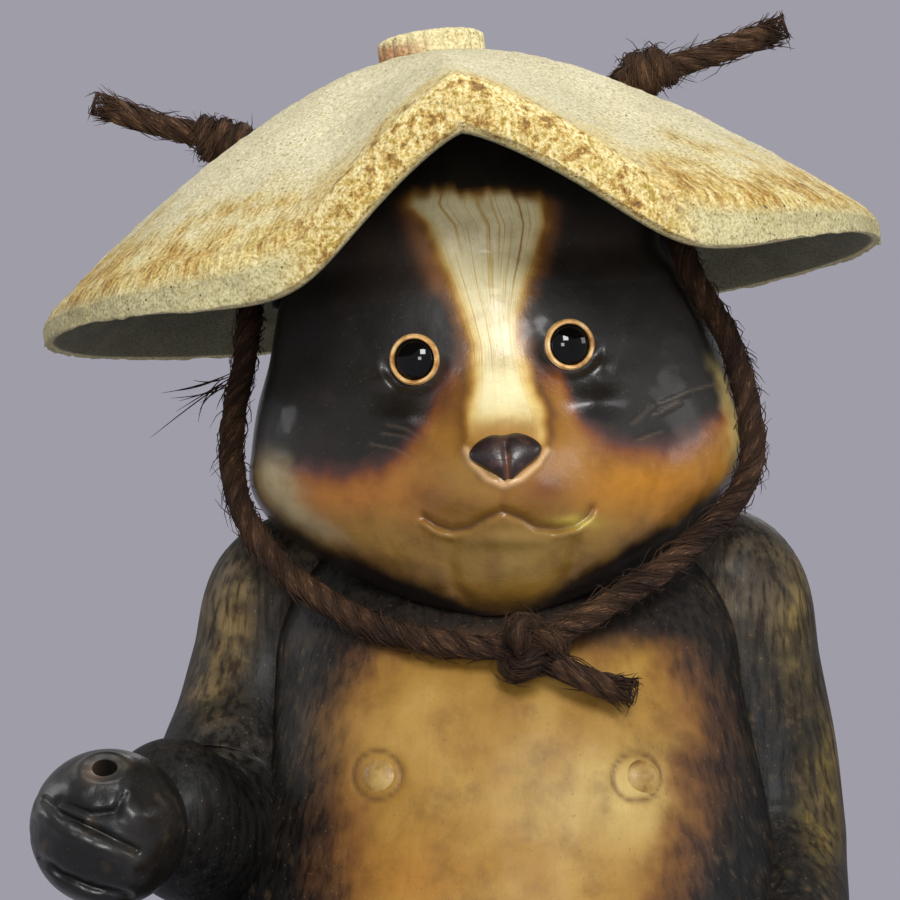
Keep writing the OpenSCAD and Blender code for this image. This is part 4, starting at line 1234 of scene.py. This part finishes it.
def in_hat(co):
    """Points measured from the crown's centre on the hat's axis, put in their place."""
    c, s = math.cos(hat_turn), math.sin(hat_turn)
    x, y, z = co[:, 0] * c - co[:, 1] * s - hat_shift, co[:, 0] * s + co[:, 1] * c, co[:, 2]
    c, s = math.cos(-hat_tip), math.sin(-hat_tip)
    y, z = y * c - z * s, y * s + z * c
    c, s = math.cos(-hat_roll), math.sin(-hat_roll)
    return crown_at + np.stack([x * c + z * s, y, -x * s + z * c], axis=1)


def hat_top(r, heading):
    """The height of the hat's top, with its front folded up between two corners."""
    outwards = np.maximum(0, (r - flat_top) / (hat_radius - flat_top))
    t = np.abs(heading) / np.where(heading < 0, front_right, front_left)
    fold = t ** 1.25 / (1 + t ** 8) ** (1.25 / 8)
    folded = front_drop * outwards ** 1.15 * (1 - fold)
    return hat_height - hat_drop * outwards ** 1.4 * fold - folded


def hat_run(angle, rise):
    """Where points lie on the hat: their heading in degrees from the front, their share of its
    radius, and how far they are over its rim, from 0 below to 1 on top. The form goes under the
    hat from its middle to the rim, round the rim, and back over the top."""
    heading = (np.degrees(angle) + 90 + 180) % 360 - 180
    corner = np.where(heading < 0, front_right, front_left)
    heading = np.where(
        np.abs(heading) <= 30, heading * corner / 30,
        np.sign(heading) * (corner + (np.abs(heading) - 30) * (180 - corner) / 150)
    )
    reach = np.interp(rise, [0, 0.44, 0.475, 0.525, 0.56, 1], [0, 0.975, 1, 1, 0.975, 0])
    over = np.interp(rise, [0.44, 0.475, 0.525, 0.56], [0, 0.22, 0.78, 1])
    return heading, reach, over


def hat_points(heading, reach, over):
    """The places of points on the hat."""
    r = hat_radius * reach
    outwards = np.maximum(0, (r - flat_top) / (hat_radius - flat_top))
    corner = np.where(heading < 0, front_right, front_left)
    at_rim = np.exp(-(np.maximum(0, np.abs(heading) - corner) / 26) ** 2)
    rim = rim_slab + (front_slab - rim_slab) * at_rim
    thick = slab + (rim - slab) * outwards ** 2
    z = hat_top(r, heading) - thick * (1 - over)
    x, y = r * np.sin(np.radians(heading)), -r * np.cos(np.radians(heading))
    seat = (crown_radius + seat_gap) ** 2 - (x - hat_shift) ** 2 - y ** 2
    seat = np.sqrt(np.maximum(0, seat))
    z = np.where((over < 0.2) & (seat > 0), np.maximum(z, seat), z)
    return in_hat(np.stack([x, y, z], axis=1))


# Coarse unglazed stoneware: pale clay full of fine grog, torn when the slab was cut, so that it is
# matt and granular, with dark specks of iron; ash melted on it in ochre and cream blotches and ribs
hat_clay = new_material("coarse_hat_stoneware")
paint = add(hat_clay, "Attribute", {"attribute_name": "paint"})
combed = add(hat_clay, "Attribute", {"attribute_name": "combed"})
place = add(hat_clay, "TexCoord")
# grog of about 1 mm
grit = add(hat_clay, "TexNoise", {"Scale": 950, "Detail": 3, "Roughness": 0.65},
           {"Vector": place.outputs["Object"]})
grit_tone = add(hat_clay, "ValToRGB", {"stops": [
    (0.30, "#7d7552"), (0.42, "#d3cba8"), (0.58, "#ffffff")
]}, {"Fac": grit.outputs["Fac"]})
# blotches of melted ash, 3 to 6 mm across with ragged edges
blotch = add(hat_clay, "TexNoise", {"Scale": 190, "Detail": 6, "Roughness": 0.72},
             {"Vector": place.outputs["Object"]})
blotch_tone = add(hat_clay, "ValToRGB", {"stops": [
    (0.33, "#694724"), (0.41, "#9c7638"), (0.46, "#cdb368"),
    (0.52, "#ece1b4"), (0.58, "#c6ab58"), (0.67, "#8d7f42")
]}, {"Fac": blotch.outputs["Fac"]})
blotched = add(hat_clay, "Mix", {"data_type": "RGBA"},
               {0: paint.outputs["Alpha"], 6: paint.outputs["Color"], 7: blotch_tone.outputs["Color"]})
# ribs of about 2 mm that run down the slope near the lower rims
rib = add(hat_clay, "TexNoise", {"Scale": 1.0, "Detail": 2, "Roughness": 0.5},
          {"Vector": combed.outputs["Vector"]})
rib_tone = add(hat_clay, "ValToRGB", {"stops": [
    (0.34, "#a98846"), (0.46, "#e4d49a"), (0.60, "#ffffff")
]}, {"Fac": rib.outputs["Fac"]})
ribbed = add(hat_clay, "Mix", {"data_type": "RGBA", "blend_type": "MULTIPLY"},
             {0: combed.outputs["Alpha"], 6: blotched.outputs[2], 7: rib_tone.outputs["Color"]})
grained = add(hat_clay, "Mix", {"data_type": "RGBA", "blend_type": "MULTIPLY", 0: 0.8},
              {6: ribbed.outputs[2], 7: grit_tone.outputs["Color"]})
iron = add(hat_clay, "TexVoronoi", {"Scale": 260, "Randomness": 1.0},
           {"Vector": place.outputs["Object"]})
speck = add(hat_clay, "ValToRGB", {"stops": [(0.09, "#ffffff"), (0.15, "#000000")]},
            {"Fac": iron.outputs["Distance"]})
some = add(hat_clay, "ValToRGB", {"stops": [(0.52, "#000000"), (0.60, "#ffffff")]},
           {"Fac": iron.outputs["Color"]})
speck_share = add(hat_clay, "Math", {"operation": "MULTIPLY"},
                  {0: speck.outputs["Color"], 1: some.outputs["Color"]})
final = add(hat_clay, "Mix", {"data_type": "RGBA", 7: colour("#4d4430")},
            {0: speck_share.outputs[0], 6: grained.outputs[2]})
grain_bump = add(hat_clay, "Bump", {"Strength": 0.55, "Distance": 0.0005},
                 {"Height": grit.outputs["Fac"]})
blotch_bump = add(hat_clay, "Bump", {"Strength": 0.55, "Distance": 0.0011},
                  {"Height": blotch.outputs["Fac"], "Normal": grain_bump.outputs["Normal"]})
rib_height = add(hat_clay, "Math", {"operation": "MULTIPLY"},
                 {0: rib.outputs["Fac"], 1: combed.outputs["Alpha"]})
rib_bump = add(hat_clay, "Bump", {"Strength": 0.7, "Distance": 0.0016},
               {"Height": rib_height.outputs[0], "Normal": blotch_bump.outputs["Normal"]})
dull = add(hat_clay, "MapRange", {"To Min": 0.6, "To Max": 0.9}, {"Value": blotch.outputs["Fac"]})
shader = add(hat_clay, "BsdfPrincipled", {"Specular IOR Level": 0.35},
             {"Base Color": final.outputs[2], "Roughness": dull.outputs["Result"],
              "Normal": rib_bump.outputs["Normal"]})
add(hat_clay, "OutputMaterial", {}, {"Surface": shader.outputs["BSDF"]})


def keep_combing(piece, vector, share):
    """Stores the run of the ribs on a piece's points, with how far they show in a fourth channel."""
    store = piece.data.attributes.new("combed", "FLOAT_COLOR", "POINT")
    store.data.foreach_set("color", np.column_stack([vector, share]).astype(np.float32).ravel())


hat, angle, rise = clay_ball("hat_cone", 380, 250, hat_clay)
heading, reach, over = hat_run(angle, rise)
move_points(hat, hat_points(heading, reach, over))
co = points_of(hat)
normals = np.empty(len(co) * 3)
hat.data.vertices.foreach_get("normal", normals)
normals = normals.reshape(-1, 3)
flow = wander(co, 0.014, 95.0)
slow = wander(co, 0.040, 97.0)
on_top = soft(0.70, 0.95, over)
on_rim = soft(0.02, 0.20, over) * (1 - on_top)
below = soft(0.10, 0.0, over)
fold_line = np.where(heading < 0, front_right, front_left)
at_front = soft(4, -6, np.abs(heading) - fold_line)
# the torn edge and the slab's uneven thickness
rough = 0.0004 * wander(co, 0.0045, 90.0) + 0.0006 * wander(co, 0.018, 93.0)
rough += on_rim * 0.0006 * wander(co, 0.006, 94.0)
move_points(hat, co + normals * (rough * soft(0.0, 0.15, over))[:, None])
ash_band = np.clip(soft(0.80, 1.0, reach + 0.09 * flow) * on_top, 0, 1)
paint = paint_over(plain_paint(co, "#d3cdb0"), 1, (
    # the bare clay, and ash on it towards the rim
    (soft(-0.1, 0.7, slow) * 0.7, "#e2dcc0"),
    (soft(-0.1, 0.7, -slow) * 0.5, "#c3bea2"),
    (soft(0.70, 0.98, reach + 0.12 * flow) * 0.65, "#dccb8c"),
    (ash_band * soft(-0.3, 0.5, flow) * 0.8, "#b98f35"),
    (ash_band * soft(0.0, 0.7, -flow) * 0.6, "#efe2a4"),
    # the rim's edge, ochre where it is folded up in front
    (on_rim * (1 - at_front), "#c0bb94"),
    (on_rim * (1 - at_front) * soft(0.0, 0.8, flow) * 0.6, "#a29a70"),
    (on_rim * at_front, "#c8b270"),
    # the underside, painted a darker grey-green than the top: painted shade under the brim, mottled, and
    # less dark next to the rim
    (below, "#605f45"),
    (below * soft(-0.1, 0.8, flow) * 0.6, "#747254"),
    (below * soft(0.86, 0.99, reach + 0.05 * flow) * 0.6, "#77755a")
))
front_edge = on_top * at_front * soft(0.84, 0.97, reach + 0.05 * flow)
mottle = np.clip(on_rim * at_front * 0.85 + on_rim * 0.18 + ash_band * 0.28 + front_edge * 0.5
                 + on_top * 0.15, 0, 0.9)
keep_paint(hat, paint, mottle)
ribs = on_top * (1 - at_front) * soft(0.70, 0.98, reach + 0.16 * flow) + on_rim * at_front * 0.6
along_rim = 80 + 1.6 * wander(co, 0.012, 98.0)
keep_combing(hat, np.column_stack([
    along_rim * np.sin(np.radians(heading)), along_rim * np.cos(np.radians(heading)), reach * 22
]), np.clip(ribs, 0, 1) * 0.8)
settle(hat, "hat_shell", "hat")

# Knob: a disc of the same clay pressed on top, nicked all round with a stick and flushed red-brown
knob_radius = 0.0195
knob_height = 0.009


def knob_place(angle, rise):
    r = np.interp(rise, [0, 0.25, 0.32, 0.68, 0.78, 1], [0, 0.93, 1, 1, 0.9, 0])
    z = np.interp(rise, [0, 0.25, 0.32, 0.68, 0.78, 1], [0, 0, 0.1, 0.84, 1, 0.9])
    nick = np.abs(np.sin(9 * angle)) ** 0.6
    r = r * (1 - 0.075 * (1 - nick) * soft(0.5, 0.95, r))
    return in_hat(np.stack([
        knob_radius * r * np.cos(angle), knob_radius * r * np.sin(angle),
        hat_height + knob_height * z
    ], axis=1))


knob = pressed_form("knob_disc", 216, 60, knob_place, hat_clay)
co = points_of(knob)
flush = soft(0.004, -0.016, co[:, 0] - crown_at[0] + 0.012 + 0.006 * wander(co, 0.008, 99.0))
flush = flush * soft(0.4965, 0.4905, co[:, 2])
keep_paint(knob, layer(plain_paint(co, "#e6dcb2"), flush * 0.85, "#a9684c"), 0.12)
keep_combing(knob, co * 500, np.full(len(co), 0.15))
settle(knob, "hat_knob", "hat")


# Floor and light
# A pale grey floor that fades into the background beyond the statue's shadow, a soft light above
# and in front, and weaker ones round it, at a level where a colour renders about as written.
bpy.ops.object.select_all(action="DESELECT")
bpy.ops.mesh.primitive_plane_add(size=60, location=(0, 0, 0))
floor = bpy.context.object
floor.name = "floor"
backdrop_grey = colour("#9f9da8")
floor_paint = new_material("pale_floor")
place = add(floor_paint, "TexCoord")
from_statue = add(floor_paint, "VectorMath", {"operation": "LENGTH"}, {0: place.outputs["Object"]})
far = add(floor_paint, "MapRange", {"From Min": 0.25, "From Max": 1.2},
          {"Value": from_statue.outputs["Value"]})
path = add(floor_paint, "LightPath")
seen_far = add(floor_paint, "Math", {"operation": "MULTIPLY"},
               {0: far.outputs["Result"], 1: path.outputs["Is Camera Ray"]})
as_backdrop = add(floor_paint, "Math", {"operation": "MAXIMUM"},
                  {0: seen_far.outputs[0], 1: path.outputs["Is Glossy Ray"]})
shader = add(floor_paint, "BsdfPrincipled", {"Base Color": colour("#a9a7b1"), "Roughness": 0.8})
glow = add(floor_paint, "Emission", {"Color": backdrop_grey, "Strength": 1.0})
shown = add(floor_paint, "MixShader", {}, {0: as_backdrop.outputs[0], 1: shader.outputs["BSDF"],
                                           2: glow.outputs["Emission"]})
add(floor_paint, "OutputMaterial", {}, {"Surface": shown.outputs["Shader"]})
floor.data.materials.append(floor_paint)

world = bpy.data.worlds.new("studio")
bpy.context.scene.world = world
world.use_nodes = True
world.node_tree.nodes.clear()
path = add(world, "LightPath")
plain = add(world, "Background", {"Color": backdrop_grey, "Strength": 1.0})
fill = add(world, "Background", {"Color": colour("#e8e8ee"), "Strength": 0.45})
seen = add(world, "MixShader", {}, {0: path.outputs["Is Camera Ray"], 1: fill.outputs["Background"],
                                    2: plain.outputs["Background"]})
add(world, "OutputWorld", {}, {"Surface": seen.outputs["Shader"]})


def lamp(name, at, aim, size, power):
    bpy.ops.object.light_add(type="AREA", location=at)
    light = bpy.context.object
    light.name = name
    light.data.size = size
    light.data.energy = power
    light.rotation_euler = (Vector(aim) - Vector(at)).to_track_quat("-Z", "Y").to_euler()


lamp("soft_key", (0.25, -1.6, 1.2), (0, 0, 0.35), 0.55, 27)
lamp("soft_front", (-0.1, -2.1, 0.50), (0, 0, 0.37), 0.4, 8)
lamp("soft_top", (-0.1, -0.2, 1.9), (0, 0, 0.35), 0.7, 8)
lamp("soft_right", (1.5, -0.3, 0.8), (0, 0, 0.3), 0.5, 4)
lamp("soft_left", (-1.6, 0.6, 0.9), (0, 0, 0.3), 0.5, 4)
lamp("soft_back", (0.4, 1.6, 1.1), (0, 0, 0.35), 0.8, 6)
